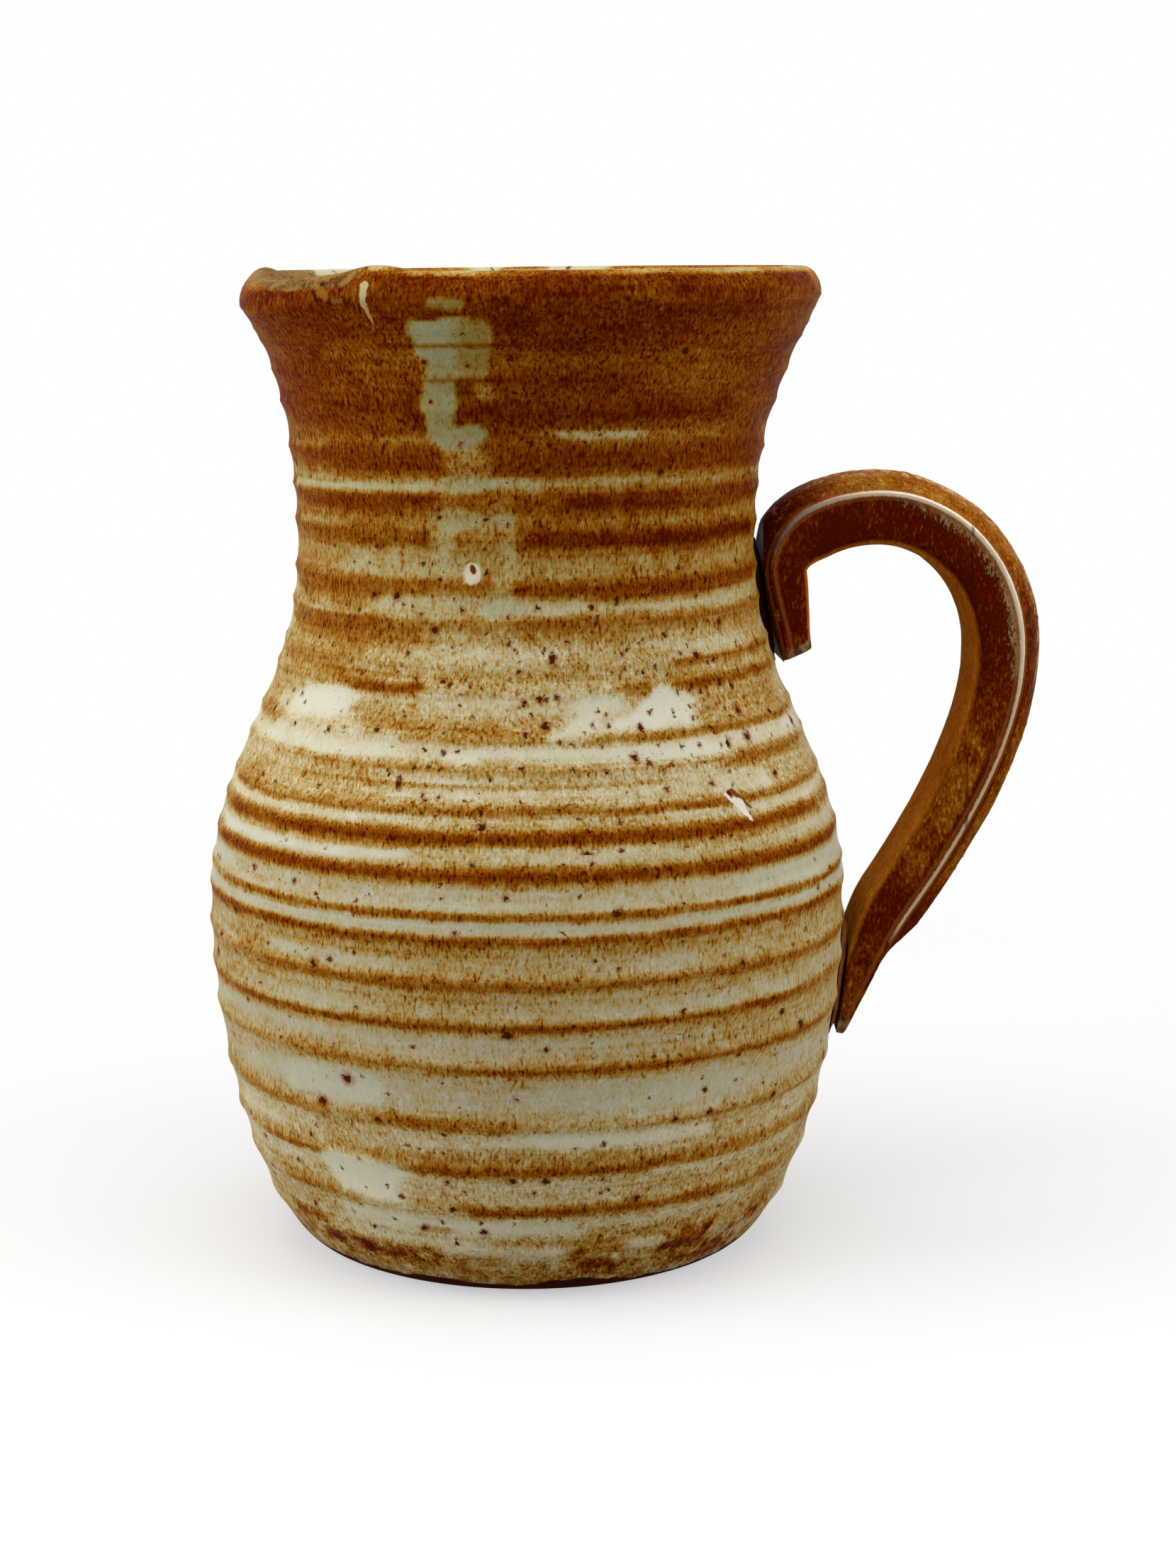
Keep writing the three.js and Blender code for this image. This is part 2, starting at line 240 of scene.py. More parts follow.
def ridge_sway(angle, height):
    """How far a finger ridge wanders up or down on its way round, least on the front."""
    slow = wander(11, angle / TURN, height, 5, 34)
    quick = wander(12, angle / TURN, height, 17, 19)
    away = smooth_share(np.abs(turned(angle, FRONT)), math.radians(50), math.radians(90))
    return (0.75 * slow + 0.25 * quick) * (0.3 + 0.7 * away) - front_sag(angle, height)


def ridge_relief(angle, height):
    """Height of the finger ridges over the wall: rounded crests with hollow grooves between."""
    ridges = np.array(RIDGES, float)
    level = height - ridge_sway(angle, height)
    above = np.clip(np.searchsorted(ridges, level), 1, len(ridges) - 1)
    gap = ridges[above] - ridges[above - 1]
    across = np.clip((level - ridges[above - 1]) / gap, 0, 1)
    depth = np.minimum(GROOVE_SHARE * gap, GROOVE_DEPTH)
    groove = depth * (4 * across * (1 - across)) ** GROOVE_ROUNDNESS
    fade = share(height, 0, 9) * share(LIP_LEVEL + 1 - height, 0, 7)
    return (RIDGE_STAND - groove) * fade


def body_rows():
    """Rows of the body from the base round the outside, over the lip and down the bore.
    Each is [radius, height, side], where side 0 is outside, 1 the lip, 2 inside, 3 the base."""
    rows = [[FOOT_RADIUS * step / BASE_ROWS, 0.0, 3] for step in range(1, BASE_ROWS)]
    heights = [0, 0.12, 0.4, 0.85]
    heights += list(np.arange(1.5, LIP_LEVEL - BODY_ROW_STEP / 2, BODY_ROW_STEP)) + [LIP_LEVEL]
    rows += [[float(wall_radius(height)), height, 0] for height in heights]
    lip_round = LIP_THICKNESS / 2
    for step in range(1, LIP_ROWS):
        turn = math.pi * step / LIP_ROWS
        radius = RIM_RADIUS - lip_round + lip_round * math.cos(turn)
        rows.append([radius, LIP_LEVEL + LIP_ROLL_HEIGHT * math.sin(turn), 1])
    corner_top = FLOOR_THICKNESS + FLOOR_CORNER_RISE
    for height in np.arange(LIP_LEVEL, corner_top, -BORE_ROW_STEP):
        rows.append([float(bore_radius(height)), height, 2])
    for step in range(FLOOR_ROWS, -1, -1):
        height = FLOOR_THICKNESS + FLOOR_CORNER_RISE * (step / FLOOR_ROWS) ** 2
        rows.append([float(bore_radius(height)), height, 2])
    floor_radius = float(bore_radius(np.array(float(FLOOR_THICKNESS))))
    for step in range(FLOOR_ROWS - 1, 0, -1):
        rows.append([floor_radius * step / FLOOR_ROWS, FLOOR_THICKNESS, 2])
    return np.array(rows, float)


def ring_faces(rows, columns):
    """Quads between closed rings of points."""
    row, column = np.meshgrid(np.arange(rows - 1), np.arange(columns), indexing="ij")
    following = (column + 1) % columns
    corners = [row * columns + column, row * columns + following,
               (row + 1) * columns + following, (row + 1) * columns + column]
    return np.stack(corners, axis=-1).reshape(-1, 4)


def mesh_piece(name, points, quads, triangles, fields):
    """A smooth mesh from points in millimetres, with a float field on its points for each name."""
    mesh = bpy.data.meshes.new(name)
    faces = [tuple(quad) for quad in quads.tolist()] + [tuple(face) for face in triangles.tolist()]
    mesh.from_pydata((points * METRES).tolist(), [], faces)
    mesh.polygons.foreach_set("use_smooth", [True] * len(mesh.polygons))
    for field, values in fields.items():
        mesh.attributes.new(field, "FLOAT", "POINT").data.foreach_set("value", values.astype(np.float32))
    mesh.update()
    piece = bpy.data.objects.new(name, mesh)
    bpy.context.scene.collection.objects.link(piece)
    return piece


# How thin the glaze lies at each height: 0 is thick and white, 1 is bare dark iron red
COAT = (
    (0, 0.62), (5, 0.5), (9, 0.4), (13, 0.3), (18, 0.28), (22.2, 0.38), (25, 0.28), (28, 0.3),
    (31.6, 0.55), (35, 0.32), (39, 0.26), (41.8, 0.4), (46, 0.24), (50, 0.28), (52.6, 0.34), (54.7, 0.58),
    (56.6, 0.36), (60, 0.22), (62, 0.36), (63.8, 0.6), (65.6, 0.28), (69.6, 0.3), (72.4, 0.54),
    (75, 0.34), (79, 0.3), (82, 0.66), (83.3, 0.2), (84.6, 0.06), (86, 0.16), (87.2, 0.5), (88.4, 0.2),
    (90.5, 0.1), (93, 0.16), (95.6, 0.7), (97.6, 0.3), (99.6, 0.2), (101, 0.44), (103.1, 0.7),
    (105, 0.36), (106.8, 0.22), (108.4, 0.48), (110.5, 0.28), (113, 0.26), (115.4, 0.42), (117, 0.16),
    (119, 0.1), (121.4, 0.42), (124, 0.3), (128, 0.28), (130.8, 0.46), (133, 0.36), (136, 0.4),
    (138.5, 0.26), (141, 0.38), (144.6, 0.62), (147.3, 0.26), (149.5, 0.5), (151.6, 0.66), (154, 0.46),
    (157, 0.44), (159.5, 0.64), (161.5, 0.74), (165.4, 0.56), (168, 0.78), (170.5, 0.8), (173, 0.44),
    (175, 0.78), (178.5, 0.84), (181.6, 0.68), (184, 0.78), (188, 0.84), (192, 0.76), (198, 0.74),
    (203, 0.76), (208, 0.8), (212, 0.78), (216, 0.6),
)

# A mark longer than this has ragged ends
LONG_MARK_DEGREES = 12
# Between these angles from the front, scattered pools and patches take over from the marks
SCATTER_START = math.radians(66)
SCATTER_FULL = math.radians(84)
FINE_LINE_TONE = 0.95

# Marks in the glaze on the front: how thin it lies there, height, half height, first and last
# angle in degrees to the right of the front, rise in millimetres to the right, and strength
MARKS = (
    (0.84, 204.5, 5, -64, -47, 0, 0.7), (0.9, 208, 3.5, -6, 50, -1, 0.7),
    (0.66, 199, 4, -45, -28, 0, 0.5), (0.9, 195, 2.2, -66, -40, 0, 0.7), (0.68, 196, 7, 42, 60, 0, 0.5),
    (0.96, 204.6, 1.9, -6.5, 0, 0, 0.9), (0.92, 201.3, 0.35, -30, 20, 1, 0.8),
    (0.92, 194.4, 0.35, -18, 20, 0.7, 0.7), (0.9, 203.6, 0.4, 4, 34, 0, 0.6),
    (0.92, 207.5, 0.45, 6, 60, 0.6, 0.6), (0.93, 187.5, 2.6, -3, 48, 0, 0.8),
    (0.94, 188, 1.4, -14, -6, 0, 0.8), (0.5, 180.8, 1, -74, -21, 2.2, 0.9),
    (0.46, 182.9, 1.3, 4, 29, -0.3, 0.9), (0.14, 182.8, 0.8, 7, 27, -0.3, 0.9),
    (0.5, 182.9, 0.9, 31, 46, 0, 0.7), (0.36, 171.6, 1.2, -76, -4, 1.6, 1),
    (0.08, 171.6, 0.75, -74, -20, 1.5, 1), (0.2, 173, 0.9, -20, 2, 0.4, 1),
    (0.3, 173.7, 0.8, -2, 45, 0.9, 0.9), (0.5, 173.6, 0.7, 45, 74, -0.6, 0.8),
    (0.95, 169.4, 1.9, 12, 38, 0, 0.8), (0.84, 177.8, 3, -50, -20, 0, 0.7),
    (0.84, 178.4, 2.6, -8, 68, 0, 0.7), (0.72, 187, 3, -66, -30, 0, 0.6),
    (0.5, 164.3, 1.4, -72, -22, 1.6, 0.8), (0.3, 163.6, 0.9, -74, -50, 0.8, 0.8),
    (0.56, 165.6, 1.1, 0, 72, 0.4, 0.6), (0.4, 165.4, 1.4, 42, 48, 0, 0.7),
    (0.96, 161.4, 1.9, 2, 72, 0, 0.95), (0.62, 161, 2, -70, -22, 0, 0.4),
    (0.24, 155.7, 2.4, -46, -17, 0.3, 0.9), (0.4, 157.5, 1.6, -72, -44, 0.6, 0.8),
    (0.42, 155.8, 3.2, -2, 68, 0, 0.85), (0.84, 151.4, 1.7, -1, 74, 0.2, 0.85),
    (0.7, 151.6, 1.6, -74, -23, 0, 0.75), (0.2, 147.4, 1.7, -38, -16, 0, 0.9),
    (0.66, 149.2, 2, -74, -40, 0.6, 0.8), (0.14, 147.4, 1.5, 3, 13, 0, 0.9),
    (0.17, 147.2, 0.85, 13, 60, -0.4, 0.95), (0.24, 146.6, 0.7, 58, 74, 0, 0.9),
    (0.26, 145.4, 0.6, -74, -40, 0, 0.9), (0.72, 141.6, 2.1, -74, -22, 0, 0.92),
    (0.36, 142.4, 2, -21, -3, 0, 0.8), (0.7, 144.3, 1.1, -20, 18, 0, 0.6),
    (0.17, 138, 1.4, -27, 6, 0, 0.85), (0.56, 139.6, 1.4, -66, -26, 0, 0.75),
    (0.18, 138.3, 1.7, 37, 62, 0, 0.85), (0.8, 135.6, 0.7, 38, 74, 0.2, 0.9),
    (0.6, 135, 4, -74, -46, 0, 0.5), (0.84, 130.8, 1, -43, -22, 0, 0.95),
    (0.86, 131, 1.1, 35, 74, 0.4, 0.95), (0.74, 130.9, 1.2, 21, 28, 0, 0.85),
    (0.3, 131, 2, -20, 20, 0, 0.8), (0.14, 127.8, 2.2, -20, 9, 0, 0.85),
    (0.03, 127, 2.2, -58, -41, 2.6, 1), (0.08, 125.6, 2.6, -64, -44, 1.5, 0.7),
    (0.14, 127, 3, 10, 22, 0, 0.9), (0.03, 127.4, 2.6, 30, 38, 1, 1), (0.08, 125, 2, 25, 38, 0.6, 0.9),
    (0.5, 126, 4, 41, 72, 0, 0.9), (0.34, 124.4, 1.2, 44, 60, 0, 0.6), (0.3, 129, 0.8, 44, 66, 0, 0.6),
    (0.46, 125.4, 1.8, -37, -22, -1.6, 0.75), (0.4, 123.8, 1.8, -26, 6, -0.6, 0.7),
    (0.6, 123.2, 0.7, -35, -4, -1.2, 0.8), (0.7, 121.4, 0.8, 24, 74, 0, 0.9),
    (0.5, 121.4, 0.5, -22, 24, 0, 0.7), (0.04, 118.7, 1.7, -64, -24, 0.6, 1),
    (0.08, 118.9, 0.9, -14, 34, 0, 0.85), (0.02, 118.3, 1.4, 35, 45, 0, 1),
    (0.05, 118.2, 1.2, -14, -9, 0, 1), (0.16, 119, 1.4, 45, 66, 0, 0.8),
    (0.66, 115.2, 1.4, 46, 74, 0.3, 0.9), (0.5, 115.5, 0.6, -50, 44, 0, 0.7),
    (0.1, 112.6, 2.2, -25, -2, 0, 0.85), (0.18, 112, 2.4, -2, 40, 0, 0.75),
    (0.06, 111, 1.6, 42, 54, -0.4, 0.9), (0.72, 108.1, 0.75, -74, 74, 0.4, 0.8),
    (0.14, 106.2, 0.9, -74, -14, 0.4, 0.85), (0.34, 105.6, 1.3, -14, 26, 0, 0.8),
    (0.14, 105.5, 1.2, 48, 74, 0, 0.8), (0.86, 103.1, 1.3, -70, 70, 0.3, 0.85),
    (0, 99, 1.2, -74, -20, 0.8, 1), (0.22, 99.8, 1, -20, 30, 0, 0.85),
    (0.86, 95.8, 1.4, -74, 74, -0.2, 0.85), (0.24, 90.9, 2.3, -61, -22, 0.2, 1),
    (0.22, 90.9, 2.2, -22, 42, 0.2, 0.95), (0.16, 91, 1.5, 38, 74, 0, 0.8),
    (0.76, 86.7, 1, -66, 74, 0.2, 0.9), (0.15, 84.4, 0.75, -74, -26, 0, 1),
    (0.17, 84.5, 0.7, -26, 74, 0.3, 1), (0.8, 82.1, 0.95, -74, 74, 0.7, 0.9),
    (0.1, 76.4, 1.5, -48, -18, 0, 0.9), (0.12, 76.3, 1.6, 21, 30, 0, 0.8),
    (0.7, 72.5, 1.2, -50, -2, 0.2, 0.85), (0.68, 72.7, 1.3, -2, 74, 0.3, 0.8),
    (0.76, 63.9, 0.85, -56, 50, 0.6, 0.9), (0.8, 64.6, 0.9, 44, 72, 0.6, 0.85),
    (0.1, 60.3, 1.9, -70, -36, 0, 0.8), (0.16, 60.2, 2, -36, 22, 0, 0.8), (0.3, 60.2, 2, 22, 66, 0, 0.7),
    (0.16, 66.6, 1, -40, 40, 0, 0.7), (0.62, 54.9, 0.7, -62, -8, -0.5, 0.8),
    (0.76, 54.5, 0.8, -8, 70, 0.6, 0.9), (0.13, 48.5, 3.6, -48, -26, 0, 0.95),
    (0.16, 56, 4, -66, -44, 0, 0.5), (0.12, 49, 3.4, -58, 40, 0, 0.75),
    (0.6, 41.7, 0.9, -62, -42, 0, 0.85), (0.5, 41.4, 0.35, -42, -26, 0, 0.8),
    (0.64, 42, 1.4, -22, -2, -0.6, 0.9), (0.62, 41.5, 0.55, 26, 68, 0, 0.8), (0.5, 62, 5, 56, 76, 0, 0.5),
    (0.06, 38.5, 1.9, 3, 34, 0, 0.95), (0.12, 37, 3, -68, -42, 0, 0.7),
    (0.14, 29.4, 3.4, -70, -38, 0, 0.75), (0.68, 31.6, 0.7, -58, -43, 0, 0.9),
    (0.78, 31.9, 1.2, -17, 26, 0.2, 0.9), (0.14, 29.8, 1.5, 28, 66, 0, 0.8),
    (0.5, 34.4, 2.2, -16, 20, 0, 0.6), (0.52, 32.8, 1.1, 38, 68, 1, 0.75),
    (0.03, 27.4, 4.6, -39, -24, 0, 1), (0.14, 28.6, 1.4, -22, 24, 0, 0.7),
    (0.62, 22.2, 1.1, -53, -33, 0, 0.9), (0.82, 22.2, 1.4, -9, 40, 0.4, 0.9),
    (0.62, 22.4, 1, 40, 62, 1, 0.8), (0.52, 15, 1.5, -6, 66, 0, 0.7), (0.08, 18, 2.4, -40, 10, -0.5, 0.9),
    (0.16, 19, 1.2, 0, 45, 0, 0.6), (0.12, 12.4, 1.8, -38, 8, -2.4, 0.8),
    (0.14, 12.6, 1.5, 22, 32, 0, 0.8), (0.86, 10.6, 3.4, 32, 36, 0, 1), (0.62, 9, 4.6, 31, 48, 0, 0.8),
    (0.64, 9.6, 4, 11, 21, 0, 0.75), (0.82, 11, 3.4, 37.5, 41, 0, 0.95),
    (0.74, 12.6, 1.6, 40, 50, -0.6, 0.9), (0.84, 8, 2, 44, 49, 0, 0.9), (0.14, 12, 2.4, 44, 48, 0, 0.7),
    (0.88, 8.2, 2.4, 12, 19, -0.6, 1), (0.84, 6.4, 1.6, 16, 23, 0, 0.9),
    (0.92, 9.4, 2.2, -38, -34, 0, 0.95), (0.9, 9.5, 2, -48, -44, 0, 0.9),
    (0.84, 7.6, 2.2, -32, -21, 0, 0.85), (0.68, 9.6, 3, -44, -18, 0, 0.6),
    (0.8, 14, 1.2, -56, -46, 0, 0.8), (0.62, 16.6, 0.7, -20, -15, 0, 0.7), (0.7, 12, 2.2, 50, 66, 0, 0.8),
)

# Outlines of pale and dark patches on the front, as corners [degrees right of the front, height]
RUN_HEAD = (
    (-19, 210.3), (-17.4, 211.3), (-13.5, 211.2), (-11.6, 210), (-12.2, 208.8), (-15, 208.2),
    (-18.4, 208.8),
)
RUN_LEFT = (
    (-23.9, 205.6), (-22.8, 206.8), (-16, 206.8), (-13, 206.7), (-13.4, 200), (-14.2, 194.2),
    (-14.1, 189), (-14.6, 186.4), (-15.4, 185.2), (-13.8, 184.7), (-12.2, 185.7), (-10.2, 185.9),
    (-8.6, 184.9), (-7.2, 183.5), (-7.3, 182.3), (-9, 181), (-11.4, 180.2), (-14, 179.8), (-17, 179.9),
    (-19, 180.4), (-20.7, 181.4), (-21.6, 183.2), (-22.3, 186), (-22.2, 188), (-22.9, 190.6),
    (-21.9, 192.8), (-20.9, 194.5), (-20.7, 196.4), (-21.2, 198.2), (-22.4, 200), (-22.5, 201.8),
    (-23.9, 203.2),
)
RUN_RIGHT = (
    (-14, 206.7), (-8, 206.6), (-7, 205.2), (-6.9, 202), (-7.2, 198), (-8, 195.6), (-10, 194.7),
    (-14.4, 194.4),
)
RUN_TOP = ((-23.6, 206), (-20, 206.4), (-15, 206.2), (-14.6, 197.6), (-20.6, 197.4), (-22.4, 200.4))
RUN_ISLAND = ((-11.2, 192.6), (-9.6, 193.6), (-6.6, 193.2), (-5.9, 191.6), (-8, 190.1), (-10.6, 190.4))
RUN_TAIL = (
    (-17, 180.4), (-10, 180.4), (-7.2, 178.6), (-6.2, 176), (-7, 173.8), (-16.4, 173.8), (-17.6, 177),
)
RUN_SHADE = ((-20.6, 172), (-1.4, 172.4), (-1, 156), (-1.6, 141), (-12, 139), (-22.4, 139.6), (-21, 156))
RUN_NECK = ((-18.4, 174.1), (-6, 174.2), (-4, 173), (-6, 171.5), (-13, 171.2), (-17.6, 171.6))
RUN_BLOCK = (
    (-20.9, 166.2), (-19.8, 167.4), (-10, 167.2), (-2.6, 167.3), (-1.3, 166), (-1.5, 164.2),
    (-3.4, 163.5), (-8, 163.6), (-14, 163.3), (-17.4, 162.4), (-20, 163.4),
)
RUN_LEFT_LEG = ((-20.6, 163.6), (-16.4, 163), (-15.6, 160), (-15.2, 154), (-17, 152.6), (-20.6, 153))
RUN_RIGHT_LEG = (
    (-6.4, 160.4), (-2.4, 161), (-1.2, 158), (-1.4, 153), (-2.6, 150.4), (-6.2, 150.2), (-7.2, 155),
)
RUN_FOOT = (
    (-9.6, 148.2), (-7, 149.6), (-2, 149.6), (1, 148.6), (1.4, 146.6), (-1, 145.4), (-7.6, 145.5),
    (-9.4, 146.4),
)
LEFT_POOL = (
    (-38, 146.6), (-33, 148.4), (-24, 149.2), (-17, 149), (-13.6, 147.8), (-15, 145.6), (-23, 145),
    (-33, 145.2),
)
NECK_POOL = (
    (-48, 158.6), (-38, 159.6), (-24, 159.4), (-17, 159), (-15.6, 155.4), (-19, 153.4), (-34, 153.2),
    (-44, 154.4),
)
BLISTER = (
    (-13.6, 156.3), (-12.4, 156.6), (-10.4, 156.6), (-9.5, 155.6), (-9.4, 153.8), (-10.8, 152.9),
    (-12.8, 153), (-13.7, 154.2),
)
BLISTER_RUST = ((-17, 153.4), (-8, 153.2), (-7.4, 151.8), (-10, 150.4), (-14, 150.2), (-17.4, 151.8))
BLISTER_PIT = ((-12.5, 155.9), (-11.6, 156.3), (-10.9, 155.6), (-11.2, 154.7), (-12.2, 154.5))
SHOULDER_LEFT = (
    (-60, 124.6), (-57, 127.6), (-54.6, 129.8), (-46, 130), (-41, 129.3), (-39.4, 127), (-40, 124.6),
    (-45, 123.6), (-50, 124.4), (-55, 122.8),
)
SHOULDER_SKIRT = (
    (-64, 120), (-60, 124.4), (-50, 125), (-39, 124.8), (-34, 123), (-28, 122.4), (-22.6, 120.8),
    (-14, 120), (-11, 118.6), (-24, 117.8), (-44, 117.6), (-60, 118),
)
SHOULDER_MIDDLE = (
    (9.6, 124.6), (11.6, 126.4), (10.8, 128.6), (13.4, 130.2), (17.8, 130.8), (22, 129.4), (21.2, 127),
    (16.4, 125.8), (17.6, 123.8), (14, 122.2), (6.4, 121), (5.6, 122),
)
SHOULDER_RIGHT = (
    (16.6, 123.4), (22.4, 125.6), (25.4, 127.6), (28.6, 129.6), (31.6, 131), (34.4, 130.4), (36.4, 127.6),
    (39.2, 125.6), (39.6, 122.8), (36.2, 122.2), (34.4, 123.6), (30, 122.6), (25.4, 123.6), (20.4, 122.6),
)
SHOULDER_PALE = ((-12, 139.4), (-27, 139.9), (-28, 136.8), (-19, 136.2), (4, 136.4), (7, 138), (4, 139.8))
LOW_POOL = (
    (-40, 31.6), (-37, 33.4), (-30, 33.6), (-25.6, 32), (-21.6, 29.4), (-24.6, 26.4), (-24.8, 23.2),
    (-30, 22.2), (-37.6, 23), (-39.6, 27),
)
MIDDLE_POOL = (
    (-49, 49.6), (-44, 52), (-34, 52.4), (-27, 51.6), (-24, 48.6), (-26, 44.8), (-36, 43.8), (-46, 45),
)
CHIP_PIT = ((41.4, 109), (42.8, 109.2), (43, 107.8), (41.8, 107.4))

# Short marks, each from a start to an end in [degrees right of the front, height], with its half
# width in millimetres, how much it tapers, and its colour and strength
SHORT_MARKS = (
    # Shadow, both pale halves and pit of the chip
    ((42.8, 108.9), (46.5, 105.1), 0.5, 0.4, (116, 60, 16), 0.95),
    ((43.6, 106.2), (41, 108.3), 1.05, 0.7, (240, 232, 212), 1),
    ((43.8, 106.2), (46, 102.6), 1.2, 0.75, (240, 234, 216), 1),
    ((42.1, 108.6), (42.3, 108.1), 0.62, 0.2, (84, 18, 8), 1),
    # Ring and pit of the blister
    ((-11.6, 154.9), (-11.4, 154.3), 1.95, 0, (226, 218, 190), 0.85),
    ((-11.6, 155.6), (-11.4, 155), 0.68, 0, (120, 48, 22), 1),
    # Tear in the lip, with its tail
    ((-31.6, 212.4), (-31.9, 209.2), 0.95, 0.3, (196, 186, 132), 0.95),
    ((-31.8, 209.4), (-30.6, 205.4), 0.6, 0.9, (184, 158, 98), 0.9),
    # Crust and crack on the lip
    ((-42, 214.6), (-41.6, 213.6), 0.62, 0.2, (70, 26, 10), 1),
    ((-43.8, 213.2), (-42.2, 210.6), 0.34, 0.3, (52, 12, 6), 0.9),
    ((-42.2, 210.8), (-40.6, 207.6), 0.22, 0.5, (60, 16, 6), 0.8),
    # Ochre and pale patches beside them
    ((-41.8, 213), (-40.4, 211.4), 1.1, 0.3, (170, 108, 36), 0.55),
    ((-38.6, 210.4), (-36.6, 210.2), 0.5, 0.2, (150, 120, 66), 0.4),
)

# Each patch: how thin the glaze lies, the softness of its edge in millimetres, its strength, and
# its outline. Later patches lie over earlier ones.
PATCHES = (
    (0.34, 2.2, 0.42, RUN_SHADE), (0.44, 1.8, 0.85, RUN_TAIL), (0.28, 1.8, 0.75, RUN_LEFT_LEG),
    (0.3, 1.8, 0.75, RUN_RIGHT_LEG), (0.42, 0.8, 0.95, RUN_RIGHT), (0.48, 1.2, 0.85, RUN_ISLAND),
    (0.34, 1, 0.85, RUN_HEAD), (0.3, 0.8, 0.97, RUN_LEFT), (0.24, 1.2, 0.9, RUN_TOP),
    (0.26, 0.7, 0.9, RUN_NECK), (0.24, 0.9, 0.92, RUN_BLOCK), (0.16, 1.2, 0.9, RUN_FOOT),
    (0.22, 1.6, 0.85, LEFT_POOL), (0.28, 1.6, 0.8, NECK_POOL), (0.7, 1.4, 0.7, BLISTER_RUST),
    (0, 0.5, 1, BLISTER), (0.14, 4.5, 0.75, SHOULDER_SKIRT), (0, 3.2, 0.95, SHOULDER_LEFT),
    (0.06, 3.4, 0.85, SHOULDER_MIDDLE), (0, 2.4, 1, SHOULDER_RIGHT), (0.22, 1.6, 0.7, SHOULDER_PALE),
    (0.04, 3.6, 0.9, LOW_POOL), (0.06, 3.4, 0.85, MIDDLE_POOL),
)

# The parts of the run where the grain is faint
CALM_OUTLINES = (RUN_HEAD, RUN_LEFT, RUN_RIGHT, RUN_NECK, RUN_BLOCK, RUN_FOOT)

# Fine dark lines left by the fingers on the neck: height, first and last angle in degrees to the
# right of the front, rise to the right, half height and strength
FINE_LINES = (
    (201.4, -31, 18, 0.6, 0.22, 0.55), (202.6, 18, 30, 1.2, 0.22, 0.5), (194.5, -18, 28, 0.3, 0.24, 0.5),
    (203.7, 6, 33, 0.5, 0.22, 0.5), (207.6, 30, 70, 0.6, 0.24, 0.4), (198.2, -60, -24, -0.4, 0.2, 0.3),
    (191, 30, 68, 0.5, 0.2, 0.35), (197.6, 20, 66, 0.7, 0.2, 0.35), (205.6, -60, -40, 0, 0.2, 0.3),
    (188.6, -64, -26, 0.4, 0.2, 0.3), (178.6, 0, 50, 0.4, 0.2, 0.35), (166.4, 10, 60, 0.5, 0.2, 0.35),
    (158.4, 4, 60, 0.4, 0.2, 0.3), (149.6, 20, 70, 0.3, 0.2, 0.35), (133.6, -50, 10, 0.4, 0.2, 0.3),
    (112.2, -60, 30, 0.6, 0.2, 0.3), (93.2, -30, 60, 0.3, 0.18, 0.3), (78.8, -60, 66, 0.6, 0.2, 0.2),
    (69.4, -50, 60, 0.5, 0.2, 0.2), (59, -20, 60, 0.4, 0.2, 0.14),
)


def outline_depth(outline, angle, height):
    """How deep each point lies inside an outline on the wall, in millimetres, negative outside."""
    corners = np.array(outline, float)
    radius = float(wall_radius(corners[:, 1].mean()))
    scale = np.array([math.radians(radius), 1])
    corners = corners * scale
    place = np.stack([np.degrees(turned(angle, FRONT)), height], axis=-1) * scale
    inside = np.zeros(angle.shape, bool)
    nearest = np.full(angle.shape, 1e9)
    for start, end in zip(corners, np.roll(corners, -1, axis=0)):
        edge = end - start
        along = np.clip((place - start) @ edge / (edge @ edge), 0, 1)
        away = place - start - along[..., None] * edge
        nearest = np.minimum(nearest, np.hypot(away[..., 0], away[..., 1]))
        crosses = (start[1] > place[..., 1]) != (end[1] > place[..., 1])
        rise = edge[1] if edge[1] else 1e-9
        inside ^= crosses & (place[..., 0] < start[0] + (place[..., 1] - start[1]) / rise * edge[0])
    return np.where(inside, nearest, -nearest)


